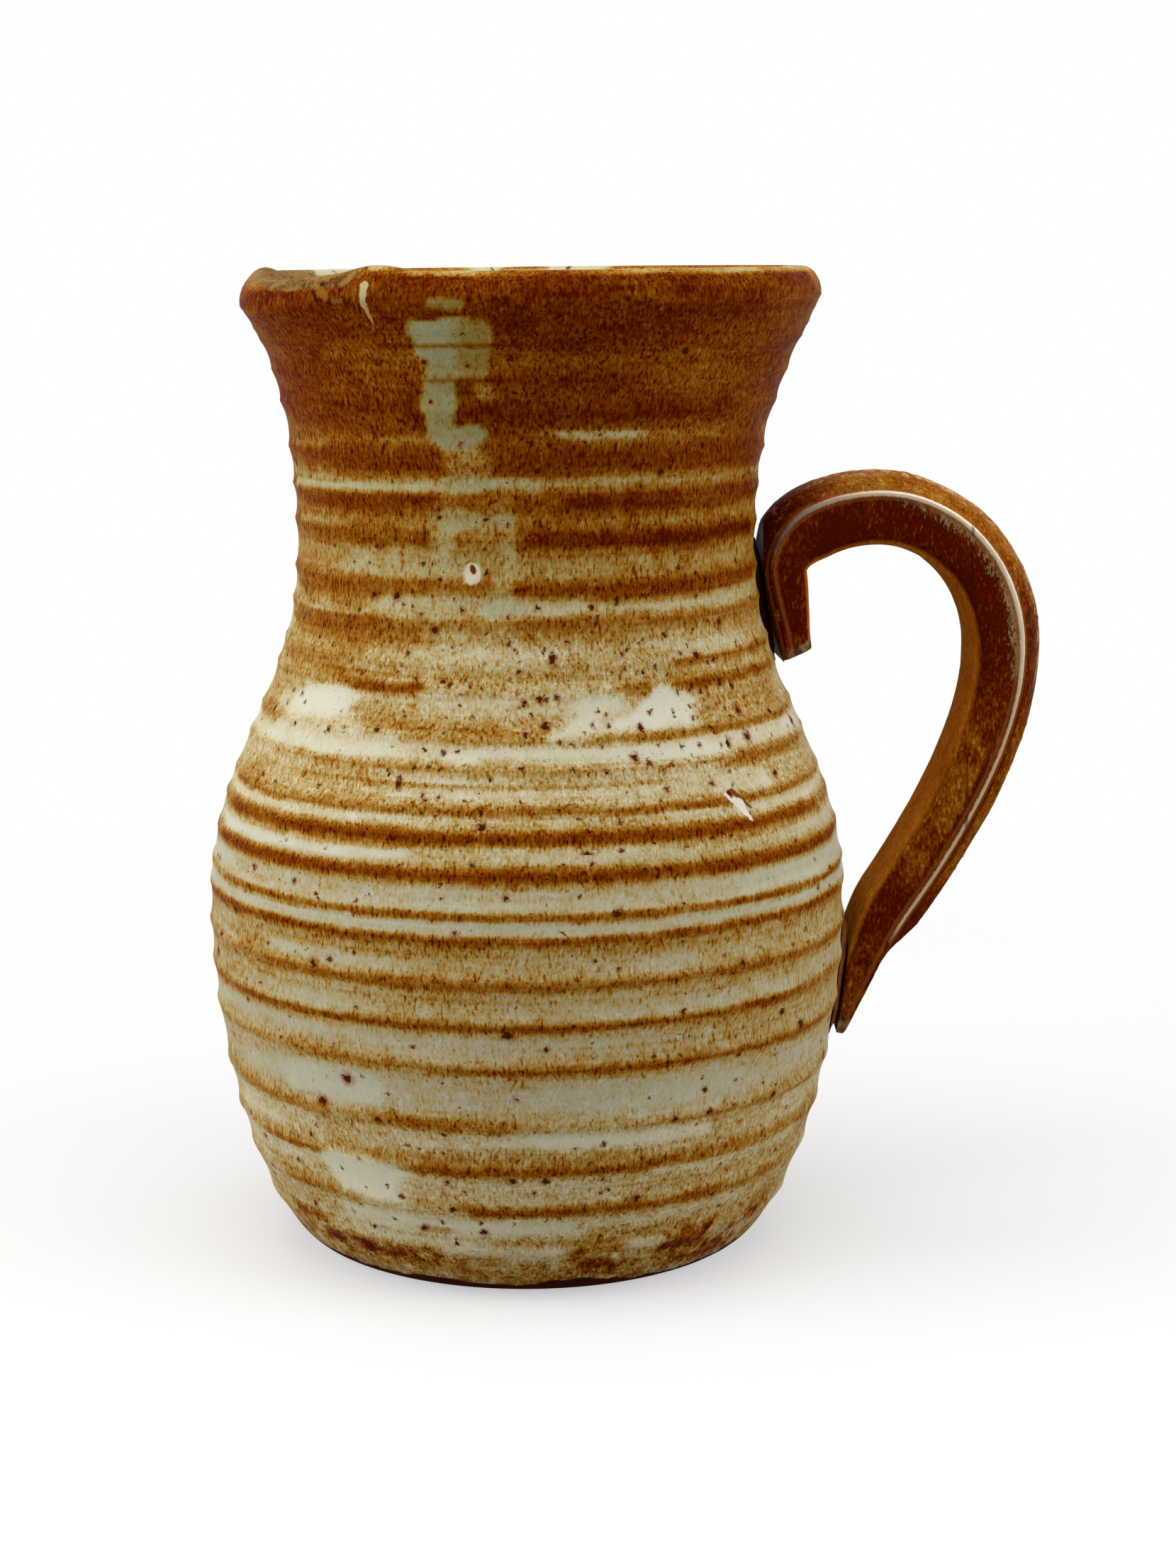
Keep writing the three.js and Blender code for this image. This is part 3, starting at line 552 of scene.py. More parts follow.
def marked_coat(angle, height):
    """How thin the glaze lies over the outside: the coat at each height, broken up round the
    pot, with the marks of the front laid over it."""
    across = angle / TURN
    level = height - ridge_sway(angle, height) + 0.35 * wander(21, across, height, 90, 3.2)
    heights, coat = np.array(COAT).T
    glaze = np.interp(level, heights, coat)
    # Long patches where a band fades or deepens on its way round
    patches = wander(22, across, height, 13, 5.5) + 0.6 * wander(23, across, height, 34, 3)
    glaze = glaze + 0.1 * patches
    # Thick white pools and thin rust patches away from the front
    away = smooth_share(np.abs(turned(angle, FRONT)), SCATTER_START, SCATTER_FULL)
    pools = smooth_share(wander(24, across, height, 22, 7) + 0.3 * patches, 0.42, 0.7)
    pools = pools * (1 - 0.7 * smooth_share(height, 142, 168))
    glaze = glaze * (1 - 0.62 * away * pools)
    rusty = smooth_share(wander(25, across, height, 16, 6), 0.5, 0.85)
    glaze = glaze + away * rusty * 0.25 * (1 - glaze)
    degrees = np.degrees(turned(angle, FRONT))
    degrees = degrees + 0.9 * wander(26, across, height, 120, 2.4)
    rough_level = height + front_sag(angle, height) + 0.26 * wander(27, across, height, 150, 2.2)
    rough_level = rough_level + 0.2 * wander(30, across, height, 50, 4)
    tongues = degrees + 3.2 * wander(31, across, height, 46, 1.3)
    patchy = 0.88 + 0.22 * wander(32, across, height, 64, 2.4)
    for tone, middle, half_height, first, last, rise, strength in MARKS:
        slope = rise * (degrees - (first + last) / 2) / max(last - first, 1)
        upright = np.exp(-(np.abs(rough_level - middle - slope) / half_height) ** 3)
        is_long = last - first > LONG_MARK_DEGREES
        ends = plateau(tongues, first, last, 4) if is_long else plateau(degrees, first, last, 2.5)
        glaze = glaze + (tone - glaze) * upright * ends * np.minimum(strength * patchy, 1)
    ragged = 0.5 * wander(28, across, height, 190, 1.7) + 0.6 * wander(29, across, height, 70, 3)
    for tone, softness, strength, outline in PATCHES:
        depth = outline_depth(outline, angle, height) + ragged
        glaze = glaze + (tone - glaze) * smooth_share(depth, -softness / 2, softness / 2) * strength
    for middle, first, last, rise, half_height, strength in FINE_LINES:
        slope = rise * (degrees - (first + last) / 2) / (last - first)
        line = np.exp(-((height - middle - slope) / (half_height + 0.25)) ** 2)
        glaze = glaze + (FINE_LINE_TONE - glaze) * line * plateau(degrees, first, last, 4) * strength
    return np.clip(glaze, 0, 1)


def body_turns():
    """Angles of the body's columns, closer together on the front."""
    front = np.arange(FRONT_COLUMNS) / FRONT_COLUMNS * 2 - 1
    back = np.arange(BACK_COLUMNS) / BACK_COLUMNS
    back_start = FRONT + FRONT_HALF_WIDTH
    turns = [FRONT + front * FRONT_HALF_WIDTH, back_start + back * (TURN - 2 * FRONT_HALF_WIDTH)]
    return np.concatenate(turns)


def glazed_body():
    rows = body_rows()
    radius, angle = np.meshgrid(rows[:, 0], body_turns(), indexing="ij")
    height = np.repeat(rows[:, 1:2], BODY_COLUMNS, axis=1)
    side = np.repeat(rows[:, 2:3], BODY_COLUMNS, axis=1)
    across = angle / TURN
    outside = side == 0
    relief = np.where(outside, ridge_relief(angle, height), 0)
    coat = marked_coat(angle, height)
    pits = np.maximum(outline_depth(CHIP_PIT, angle, height), outline_depth(BLISTER_PIT, angle, height))
    relief = relief - np.where(outside, PIT_DEPTH * smooth_share(pits, -0.6, 0.4), 0)
    # The potter's smaller dents and the uneven glaze skin
    skin = DENT_HEIGHT * wander(41, across, height, 70, 4)
    skin = skin + SKIN_HEIGHT * wander(42, across, height, 160, 1.8)
    relief = relief + np.where(outside, skin * share(height, 0, 6), 0)
    inside = (side == 2) & (height > FLOOR_THICKNESS)
    bore_rings = BORE_RING_HEIGHT * np.cos(height * TURN / BORE_RING_SPACING + angle)
    relief = relief + np.where(inside, bore_rings + 2 * skin, 0)
    points = formed_point(radius + relief, angle, height).reshape(-1, 3)
    points = np.concatenate([points, [[0, 0, 0], [0, 0, FLOOR_THICKNESS]]])
    quads = ring_faces(len(rows), BODY_COLUMNS)
    base_centre = len(rows) * BODY_COLUMNS
    column = np.arange(BODY_COLUMNS)
    following = (column + 1) % BODY_COLUMNS
    last = (len(rows) - 1) * BODY_COLUMNS
    base_fan = np.stack([np.full(BODY_COLUMNS, base_centre), following, column], axis=-1)
    floor_fan = np.stack([last + column, last + following,
                          np.full(BODY_COLUMNS, base_centre + 1)], axis=-1)
    below = (height - LIP_LEVEL) / LIP_THICKNESS
    roll = np.where(side == 1, share(RIM_RADIUS - radius, 0, LIP_THICKNESS), np.where(outside, below, 1))
    fields = {"coat": body_coat(coat, angle, height, side, roll)}
    fields["speck_share"] = speck_share(angle, height)
    fields["olive"] = smooth_share(height, 128, 162) * np.where(side < 2, 1.0, 0.35)
    # Where the pale glaze is greyed with painted shade: the belly, lit less than the shoulder
    fields["belly"] = plateau(height, 46, 94, 8) * (side == 0)
    fields["crust"] = (1 - smooth_share(height, 12, 17)) * (side == 0)
    fields["calm"] = calm_glaze(angle, height) * (side == 0)
    fields["bare"] = bare_clay(angle, height, side)
    fields["lip_wear"] = lip_wear(angle, height, roll)
    fields = {name: np.append(values.reshape(-1), [values[0, 0], values[-1, 0]])
              for name, values in fields.items()}
    return mesh_piece("glazed_thrown_body", points, quads, np.concatenate([base_fan, floor_fan]), fields)


def body_coat(coat, angle, height, side, roll):
    """The coat of the outside, carried over the lip and down the cream bore. Roll runs from 0
    at the lip's outer edge to 1 at its inner edge."""
    across = angle / TURN
    patches = wander(51, across, height, 40, 5)
    # A dark band under the lip's top, and a thin orange line along it: partly the glaze thin on the edge,
    # partly a painted highlight where the rim's top catches the light
    degrees = np.degrees(turned(angle, FRONT))
    # Painted highlight on the rim's top, strongest on two stretches of the front
    lit_edge_strength = 0.45 + 0.55 * np.maximum(plateau(degrees, -32, -12, 8), plateau(degrees, 20, 66, 12))
    thin_edge_and_highlight = plateau(roll, 0.3, 0.6, 0.08) * lit_edge_strength
    lip_coat = 0.84 + 0.1 * patches - 0.42 * thin_edge_and_highlight * (1 + 0.4 * wander(53, across, height, 90, 5))
    # The lip is paler at its right end, seen edge-on: a painted highlight
    lip_coat = lip_coat - 0.2 * plateau(degrees, 78, 100, 8)
    # White glaze runs up inside the far rim, and leaves brown strokes along its top
    behind = np.degrees(turned(angle, FRONT + math.pi)) + 2 * wander(54, across, roll, 90, 0.2)
    strokes = plateau(behind, -110, -20, 4) + plateau(behind, -1, 7, 1.5) + plateau(behind, 18, 31, 2)
    white = np.maximum(smooth_share(roll, 0.66, 0.8), smooth_share(roll, 0.2, 0.4) * (1 - strokes))
    lip_coat = lip_coat + (0.08 - lip_coat) * white * plateau(behind, -110, 62, 8)
    bore_streaks = 0.2 + 0.06 * wander(52, across, height, 26, 12) + 0.05 * patches
    over_lip = smooth_share(height, LIP_LEVEL - 4, LIP_LEVEL - 0.5)
    bore_coat = bore_streaks + (0.3 - bore_streaks) * over_lip * plateau(degrees, -118, 70, 8)
    coat = np.where(side == 1, lip_coat, coat)
    return np.clip(np.where(side == 2, bore_coat, coat), 0, 1)


def calm_glaze(angle, height):
    """1 high in the run of thick glaze on the neck, where the grain is faint, and 0.4 lower down."""
    depth = [outline_depth(outline, angle, height) for outline in CALM_OUTLINES]
    high = 0.4 + 0.6 * smooth_share(height, 173, 180)
    return smooth_share(np.max(depth, axis=0), -0.6, 0.6) * high


def speck_share(angle, height):
    """Share of the places where an iron speck shows, most of them on the shoulder in front."""
    degrees = np.degrees(turned(angle, FRONT))
    shoulder = plateau(height, 108, 136, 14) * plateau(degrees, -14, 44, 18)
    patches = 0.1 * wander(64, angle / TURN, height, 12, 24)
    return np.clip(0.18 + 0.42 * shoulder + patches + 0.1 * plateau(height, 4, 16, 6), 0.05, 0.9)


def bare_clay(angle, height, side):
    """1 where the foot was wiped free of glaze."""
    across, level = angle / TURN, angle * 0
    ragged = 1.1 * wander(61, across, level, 22, 1) + 0.5 * wander(62, across, level, 90, 1)
    edge = BARE_FOOT_HEIGHT + ragged
    bare = 1 - smooth_share(height, edge - 0.3, edge + 0.5)
    return np.where(side == 0, bare, np.where(side == 3, 1.0, 0.0))


def lip_wear(angle, height, roll):
    """1 on the worn grey top of the pouring lip, which starts lower towards its near fold."""
    degrees = np.degrees(turned(angle, FRONT)) + 1.5 * wander(71, angle / TURN, roll, 60, 0.1)
    start = 0.3 - 0.16 * smooth_share(degrees, -62, -36) - 0.1 * plateau(degrees, -54, -40, 8)
    fade = 3 + 12 * smooth_share(roll, 0.8, 1)
    worn = smooth_share(roll, start - 0.08, start + 0.08) * plateau(degrees, -118, -34, fade)
    ragged = height + 2.5 * wander(72, angle / TURN, height, 44, 3)
    return worn * smooth_share(ragged, LIP_LEVEL - 9, LIP_LEVEL - 4)


# The strap handle

STRAP_STEPS = 300
PATH_STEPS = 400
# Share of the strap's length over which its direction is read
DIRECTION_STEP = 0.002
BEAD_HEIGHT = 0.3
BEAD_HALF_WIDTH = 0.5
BEAD_GROOVE_DEPTH = 0.22
BEAD_GROOVE_PLACE = 1.5
BEAD_GROOVE_HALF_WIDTH = 0.6
CAP_ROWS = 7
CAP_ROUND_ROWS = 3
CAP_ROUNDING = 0.5
CAP_CENTRE_STAND = 0.4
STRAP_DENT_HEIGHT = 0.16
STRAP_SKIN_HEIGHT = 0.05
CRUMB_HEIGHT = 0.3
# Only the peaks of the crumbs' random field over this level show
CRUMB_LEVEL = 0.45
# Taken off all round, so that the dents and crumbs stay inside the CAD strap
STRAP_SHRINK = 0.14
FILM_ROWS = 60
FILM_COLUMNS = 40
FILM_SWELL = 0.12
FILM_THINNING = 0.72


def line_points(start, end, count):
    part = np.linspace(0, 1, count)[:, None]
    return np.array(start) * (1 - part) + np.array(end) * part


def quarter_ellipse_points(centre, radii, start, count):
    turn = start - np.linspace(0, math.pi / 2, count)
    return np.stack([centre[0] + radii[0] * np.cos(turn), centre[1] + radii[1] * np.sin(turn)], axis=-1)


def bezier_points(corners, count):
    part = np.linspace(0, 1, count)[:, None]
    first, second, third, fourth = (np.array(corner) for corner in corners)
    return (first * (1 - part) ** 3 + 3 * second * (1 - part) ** 2 * part
            + 3 * third * (1 - part) * part**2 + fourth * part**3)


def strap_path():
    """Points along the middle of the strap in the XZ plane, their shares of its length, and
    the shares at which the arch springs and crests, and the bow and the heel turn."""
    cut_end = (float(wall_radius(CUT_END_HEIGHT)) + CUT_END_OUT, CUT_END_HEIGHT)
    spring = (float(wall_radius(ARCH_SPRING_HEIGHT)) + ARCH_SPRING_OUT, ARCH_SPRING_HEIGHT)
    crest = (WAIST_RADIUS + CREST_OUT, CREST_HEIGHT)
    bow = (WAIST_RADIUS + BOW_OUT, BOW_HEIGHT)
    heel = np.array([float(wall_radius(HEEL_HEIGHT)) + HEEL_OUT, HEEL_HEIGHT])
    toe = (float(wall_radius(TOE_HEIGHT)) + TOE_OUT, TOE_HEIGHT)
    over_toe = (toe[0] + TOE_OUT, toe[1] + TOE_EASE)
    slope = np.array([math.cos(HEEL_SLOPE), math.sin(HEEL_SLOPE)])
    arch_radii = (crest[0] - spring[0], crest[1] - spring[1])
    bow_radii = (bow[0] - crest[0], crest[1] - bow[1])
    parts = [
        line_points(cut_end, spring, PATH_STEPS),
        quarter_ellipse_points((crest[0], spring[1]), arch_radii, math.pi, PATH_STEPS),
        quarter_ellipse_points((crest[0], bow[1]), bow_radii, math.pi / 2, PATH_STEPS),
        bezier_points([bow, (bow[0], bow[1] - BOW_EASE), heel + slope * LIMB_EASE, heel], PATH_STEPS),
        bezier_points([heel, heel - slope * HEEL_EASE, over_toe, toe], PATH_STEPS),
    ]
    points = np.concatenate([parts[0]] + [part[1:] for part in parts[1:]])
    lengths = np.concatenate([[0], np.cumsum(np.linalg.norm(np.diff(points, axis=0), axis=1))])
    shares = lengths / lengths[-1]
    joins = [shares[(PATH_STEPS - 1) * (index + 1)] for index in range(len(parts) - 1)]
    return points, shares, joins, lengths[-1]


def strap_size(part, spring_part, crest_part, bow_part, heel_part):
    """Width, thickness and crown of the strap at a share of its length."""
    pressed_part = (heel_part + 1) / 2
    rising = smooth_share(part, 0, spring_part)
    filling = smooth_share(part, spring_part, (spring_part + crest_part) / 2)
    bowing = smooth_share(part, crest_part, bow_part)
    thinning = share(part, bow_part, heel_part)
    pressing = smooth_share(part, heel_part, pressed_part)
    closing = share(part, pressed_part, 1) ** 2
    thickness = (CUT_END_THICKNESS + (ARCH_SPRING_THICKNESS - CUT_END_THICKNESS) * rising
                 + (ARCH_THICKNESS - ARCH_SPRING_THICKNESS) * filling
                 + (STRAP_THICKNESS - ARCH_THICKNESS) * bowing
                 + (HEEL_THICKNESS - STRAP_THICKNESS) * thinning
                 + (PRESSED_THICKNESS - HEEL_THICKNESS) * pressing
                 + (TOE_THICKNESS - PRESSED_THICKNESS) * closing)
    width = (STRAP_WIDTH + (PRESSED_WIDTH - STRAP_WIDTH) * pressing
             + (TOE_WIDTH - PRESSED_WIDTH) * closing)
    crown = (ARCH_CROWN_HEIGHT + (LIMB_CROWN_HEIGHT - ARCH_CROWN_HEIGHT) * bowing
             + (TOE_CROWN_HEIGHT - LIMB_CROWN_HEIGHT) * pressing)
    return width, thickness, crown


def strap_section(width, thickness, crown):
    """Section as [across, outward], with each point's distance along it from the nearest arris,
    and 1 where it lies on the inner face or on the outer face."""
    scale = thickness / STRAP_THICKNESS
    half = width / 2
    edge = INNER_EDGE_RADIUS * scale
    # Points crowd towards the arrises, where the pale bead stands
    crowded = np.sin(np.linspace(-1, 1, 33) * math.pi / 2)
    top = np.stack([-half * crowded, thickness / 2 - crown * crowded**2], axis=-1)
    side_top = thickness / 2 - crown
    side_bottom = edge - thickness / 2
    down = np.array([0.03, 0.07, 0.12, 0.18, 0.25, 0.34, 0.45, 0.58, 0.72, 0.87])
    near_side = np.stack([np.full(len(down), -half), side_top + (side_bottom - side_top) * down], axis=-1)
    turn = np.linspace(0, math.pi / 2, 6)
    rounded = [edge - half - edge * np.cos(turn), edge - thickness / 2 - edge * np.sin(turn)]
    near_round = np.stack(rounded, axis=-1)
    across = np.linspace(-1, 1, 12)[1:-1] * (half - edge)
    inner = np.stack([across, np.full(len(across), -thickness / 2)], axis=-1)
    far_round = near_round[::-1] * [-1, 1]
    far_side = near_side[::-1] * [-1, 1]
    section = np.concatenate([top, near_side, near_round, inner, far_round, far_side])
    near = len(top) - 1
    steps = np.linalg.norm(np.diff(section, axis=0, append=section[:1]), axis=1)
    walked = np.concatenate([[0], np.cumsum(steps)[:-1]])
    past_far = np.minimum(walked, steps.sum() - walked)
    past_arris = np.minimum(np.abs(walked - walked[near]), past_far)
    inner_face = np.zeros(len(section))
    inner_face[len(top) + len(near_side) + 3: len(section) - len(far_side) - 3] = 1
    outer_face = np.zeros(len(section))
    outer_face[1:len(top) - 1] = 1
    return section, past_arris, inner_face, outer_face


def path_point(path, shares, part):
    """The point of the strap's middle line at a share of its length."""
    return np.array([np.interp(part, shares, path[:, axis]) for axis in (0, 1)])


def pressed_out(points):
    """Presses points of the soft strap out to the face that rests on the luting clay."""
    face = wall_radius(points[..., 2]) + HANDLE_FACE
    radius = np.hypot(points[..., 0], points[..., 1])
    scale = np.where(radius < face, face / radius, 1)
    return np.stack([points[..., 0] * scale, points[..., 1] * scale, points[..., 2]], axis=-1)


def glazed_handle():
    path, shares, joins, total = strap_path()
    spring_part, heel_part = joins[0], joins[3]
    rings, fields = [], {name: [] for name in ("past_arris", "along", "inner_face", "outer_face")}
    round_off = CAP_ROUNDING / total
    for part in np.linspace(round_off, 1 - round_off, STRAP_STEPS):
        centre = path_point(path, shares, part)
        way = path_point(path, shares, min(part + DIRECTION_STEP, 1))
        way = way - path_point(path, shares, max(part - DIRECTION_STEP, 0))
        forward = way / np.linalg.norm(way)
        section, past_arris, inner_face, outer_face = strap_section(*strap_size(part, *joins))
        # The bead along each arris and the groove just inside it
        strength = smooth_share(part, 0.02, spring_part + 0.04)
        strength = strength * (1 - smooth_share(part, heel_part - 0.02, heel_part + 0.06))
        groove = np.exp(-(((past_arris - BEAD_GROOVE_PLACE) / BEAD_GROOVE_HALF_WIDTH) ** 2))
        bead = BEAD_HEIGHT * np.exp(-((past_arris / BEAD_HALF_WIDTH) ** 2))
        bead = bead - BEAD_GROOVE_DEPTH * groove * (1 - outer_face)
        out_way = section - section.mean(axis=0)
        out_way = out_way / np.linalg.norm(out_way, axis=1)[:, None]
        section = section + out_way * (bead * strength)[:, None]
        cut_back = math.tan(CUT_END_SLOPE) * (1 - share(part, 0, spring_part))
        across, outward = section.T
        x = centre[0] - forward[1] * outward - forward[0] * cut_back * outward
        z = centre[1] + forward[0] * outward - forward[1] * cut_back * outward
        rings.append(np.stack([x, across, z], axis=-1))
        ring_values = (past_arris, np.full(len(section), part), inner_face, outer_face)
        for name, values in zip(fields, ring_values):
            fields[name].append(values)
    rings = np.array(rings)
    fields = {name: np.array(values) for name, values in fields.items()}
    rings = pressed_out(uneven(rings, fields["outer_face"]))
    points, quads, triangles, fields = capped(rings, fields)
    return mesh_piece("glazed_strap_handle", points, quads, triangles, fields)


def uneven(rings, outer_face):
    """The strap's hand-made unevenness, with crumbs of grog along its crown."""
    steps, around = rings.shape[:2]
    step, point = np.meshgrid(np.arange(steps) / steps, np.arange(around) / around, indexing="ij")
    middle = rings.mean(axis=1, keepdims=True)
    out_way = rings - middle
    out_way = out_way / np.linalg.norm(out_way, axis=2)[..., None]
    push = STRAP_DENT_HEIGHT * wander(81, point, step, 7, 0.045)
    push = push + STRAP_SKIN_HEIGHT * wander(82, point, step, 24, 0.012)
    crumbs = np.clip(wander(83, point, step, 60, 0.0042), CRUMB_LEVEL, 1) - CRUMB_LEVEL
    push = push + CRUMB_HEIGHT * crumbs * outer_face - STRAP_SHRINK
    return rings + out_way * push[..., None]


def capped(rings, fields):
    """Closes both ends of the swept strap with a rounded edge and a slightly rough face."""
    count, around = rings.shape[:2]
    rows = [rings.reshape(-1, 3)]
    values = {name: [field.reshape(-1)] for name, field in fields.items()}
    quads = [ring_faces(count, around)]
    fans = []
    made = count * around
    rng = np.random.default_rng(91)
    here = np.arange(around)
    following = (here + 1) % around
    for end, last, inner in ((0, 0, 1), (1, count - 1, count - 2)):
        ring = rings[last]
        way = ring.mean(axis=0) - rings[inner].mean(axis=0)
        way = way / np.linalg.norm(way)
        middle = ring.mean(axis=0)
        start = last * around
        for row in range(1, CAP_ROWS + 1):
            if row <= CAP_ROUND_ROWS:
                turn = math.pi / 2 * row / CAP_ROUND_ROWS
                inward = CAP_ROUNDING * (1 - math.cos(turn)) / np.linalg.norm(ring - middle, axis=1)
                cap = middle + (ring - middle) * (1 - inward)[:, None] + way * CAP_ROUNDING * math.sin(turn)
                cap_edge = cap
            else:
                shrink = 1 - (row - CAP_ROUND_ROWS) / (CAP_ROWS - 2)
                cap = middle + (cap_edge - middle) * shrink
                cap = cap + way * rng.uniform(-0.16, 0.06, (around, 1))
            rows.append(cap)
            for name, field in fields.items():
                values[name].append(field[last])
            ring_quads = np.stack([start + here, start + following, made + following, made + here], axis=-1)
            quads.append(ring_quads if end else ring_quads[:, ::-1])
            start = made
            made += around
        rows.append(middle[None, :] + way * CAP_CENTRE_STAND)
        for name, field in fields.items():
            values[name].append(field[last].mean(keepdims=True))
        fan = np.stack([start + here, start + following, np.full(around, made)], axis=-1)
        fans.append(fan if end else fan[:, ::-1])
        made += 1
    values = {name: np.concatenate(parts) for name, parts in values.items()}
    return np.concatenate(rows), np.concatenate(quads), np.concatenate(fans), values


def luting_film(name, width, bottom, top, seed):
    """The film of luting clay, with an uneven squeezed edge."""
    rows, columns = FILM_ROWS, FILM_COLUMNS
    up, across = np.meshgrid(np.linspace(-1, 1, rows), np.linspace(-1, 1, columns), indexing="ij")
    middle = (bottom + top) / 2
    rough = wander(seed, (across + 1) / 2, up, 8, 0.16, closed=False)
    height = middle + (top - bottom) / 2 * up * np.sqrt(1 - 0.3 * across**2)
    arc = width / 2 * across * np.sqrt(1 - 0.3 * up**2) * (1 + 0.025 * rough)
    angle = arc / float(wall_radius(middle))
    edge = np.maximum(np.maximum(np.abs(up), np.abs(across)) ** 4, smooth_share(np.abs(up), 0.62, 1))
    film = LUTING_THICKNESS + FILM_SWELL + (FILM_SWELL * rough - FILM_THINNING) * edge
    # The film's border sinks into the wall's grooves
    sunk = (2 * RING_HEIGHT - 0.25) * edge ** 0.75
    layers = []
    for stand in (0.1 - RING_HEIGHT, RING_HEIGHT + film - sunk):
        radius = wall_radius(height) + SEAT_GAP + stand
        layers.append(np.stack([radius * np.cos(angle), radius * np.sin(angle), height], axis=-1))
    points = np.concatenate([layer.reshape(-1, 3) for layer in layers])
    row, column = np.meshgrid(np.arange(rows - 1), np.arange(columns - 1), indexing="ij")
    lower = row * columns + column
    sheet = np.stack([lower, lower + 1, lower + columns + 1, lower + columns], axis=-1).reshape(-1, 4)
    back = rows * columns
    rim = np.concatenate([np.arange(columns), np.arange(2, rows) * columns - 1,
                          np.arange(rows * columns - 1, (rows - 1) * columns - 1, -1),
                          np.arange(rows - 2, 0, -1) * columns])
    following = np.roll(rim, -1)
    border = np.stack([rim, following, following + back, rim + back], axis=-1)
    quads = np.concatenate([sheet[:, ::-1], sheet + back, border])
    return mesh_piece(name, points, quads, np.zeros((0, 3), int), {})


# Materials

MILLIMETRES = 1000
# The wrapped place is laid out at this radius, with this much jitter in millimetres
WRAP_RADIUS = 60
SPECK_JITTER = 1.7
MARK_JITTER = 0.9
# Each kind of iron speck: the scale of its cells and the size of its dot
LARGE_SPECKS = (0.16, 0.125)
SMALL_SPECKS = (0.37, 0.165)
SPECK_DUST = (0.9, 0.15)
DUST_SHARE = 0.3
SMALL_SPECKS_SHARE = 0.6
GLAZE_SHEEN = 0.01
CLAY_SHEEN = 0.05

# The colour of the glaze by how thin it lies, from thick white to bare dark red
GLAZE_COLOURS = (
    (0.0, (227, 224, 204)), (0.1, (219, 212, 184)), (0.2, (207, 194, 153)), (0.32, (193, 169, 112)),
    (0.44, (179, 141, 66)), (0.58, (160, 106, 24)), (0.72, (139, 72, 4)), (0.86, (112, 43, 1)),
    (1.0, (80, 17, 0)),
)

# Colours of the marks, tints and clay, as they look on screen, from 0 to 255
SPECK_HALO = (148, 78, 14)
SPECK_BROWN = (62, 24, 0)
OLIVE_TINT = (214, 214, 186)
# Painted shade for the pale glaze of the belly
BELLY_SHADE_TINT = (229, 231, 230)
RUN_TINT = (224, 240, 255)
WORN_LIP_DARK = (86, 50, 14)
WORN_LIP_PALE = (156, 122, 64)
FOOT_CLAY_DARK = (48, 16, 10)
FOOT_CLAY_PALE = (80, 34, 22)
CRUMB_CREAM = (216, 156, 84)
CROWN_CREAM = (222, 180, 118)
GROOVE_RUST = (156, 88, 36)
# Cream and tan of the handle's bead, with a painted highlight in them
ARCH_BEAD_CREAM_AND_HIGHLIGHT = (250, 236, 208)
LIMB_BEAD_TAN_AND_HIGHLIGHT = (212, 184, 140)
INNER_ORANGE = (210, 118, 26)
WORN_ARCH = (168, 142, 92)
HANDLE_SPECK = (40, 10, 4)
END_CLAY_DARK = (70, 26, 10)
END_CLAY_PALE = (168, 138, 96)


def colour(red, green, blue):
    """A colour as it looks on screen, from 0 to 255, as the shader's linear value."""
    parts = [part / 255 for part in (red, green, blue)]
    linear = [part / 12.92 if part <= 0.04045 else ((part + 0.055) / 1.055) ** 2.4 for part in parts]
    return tuple(linear) + (1,)


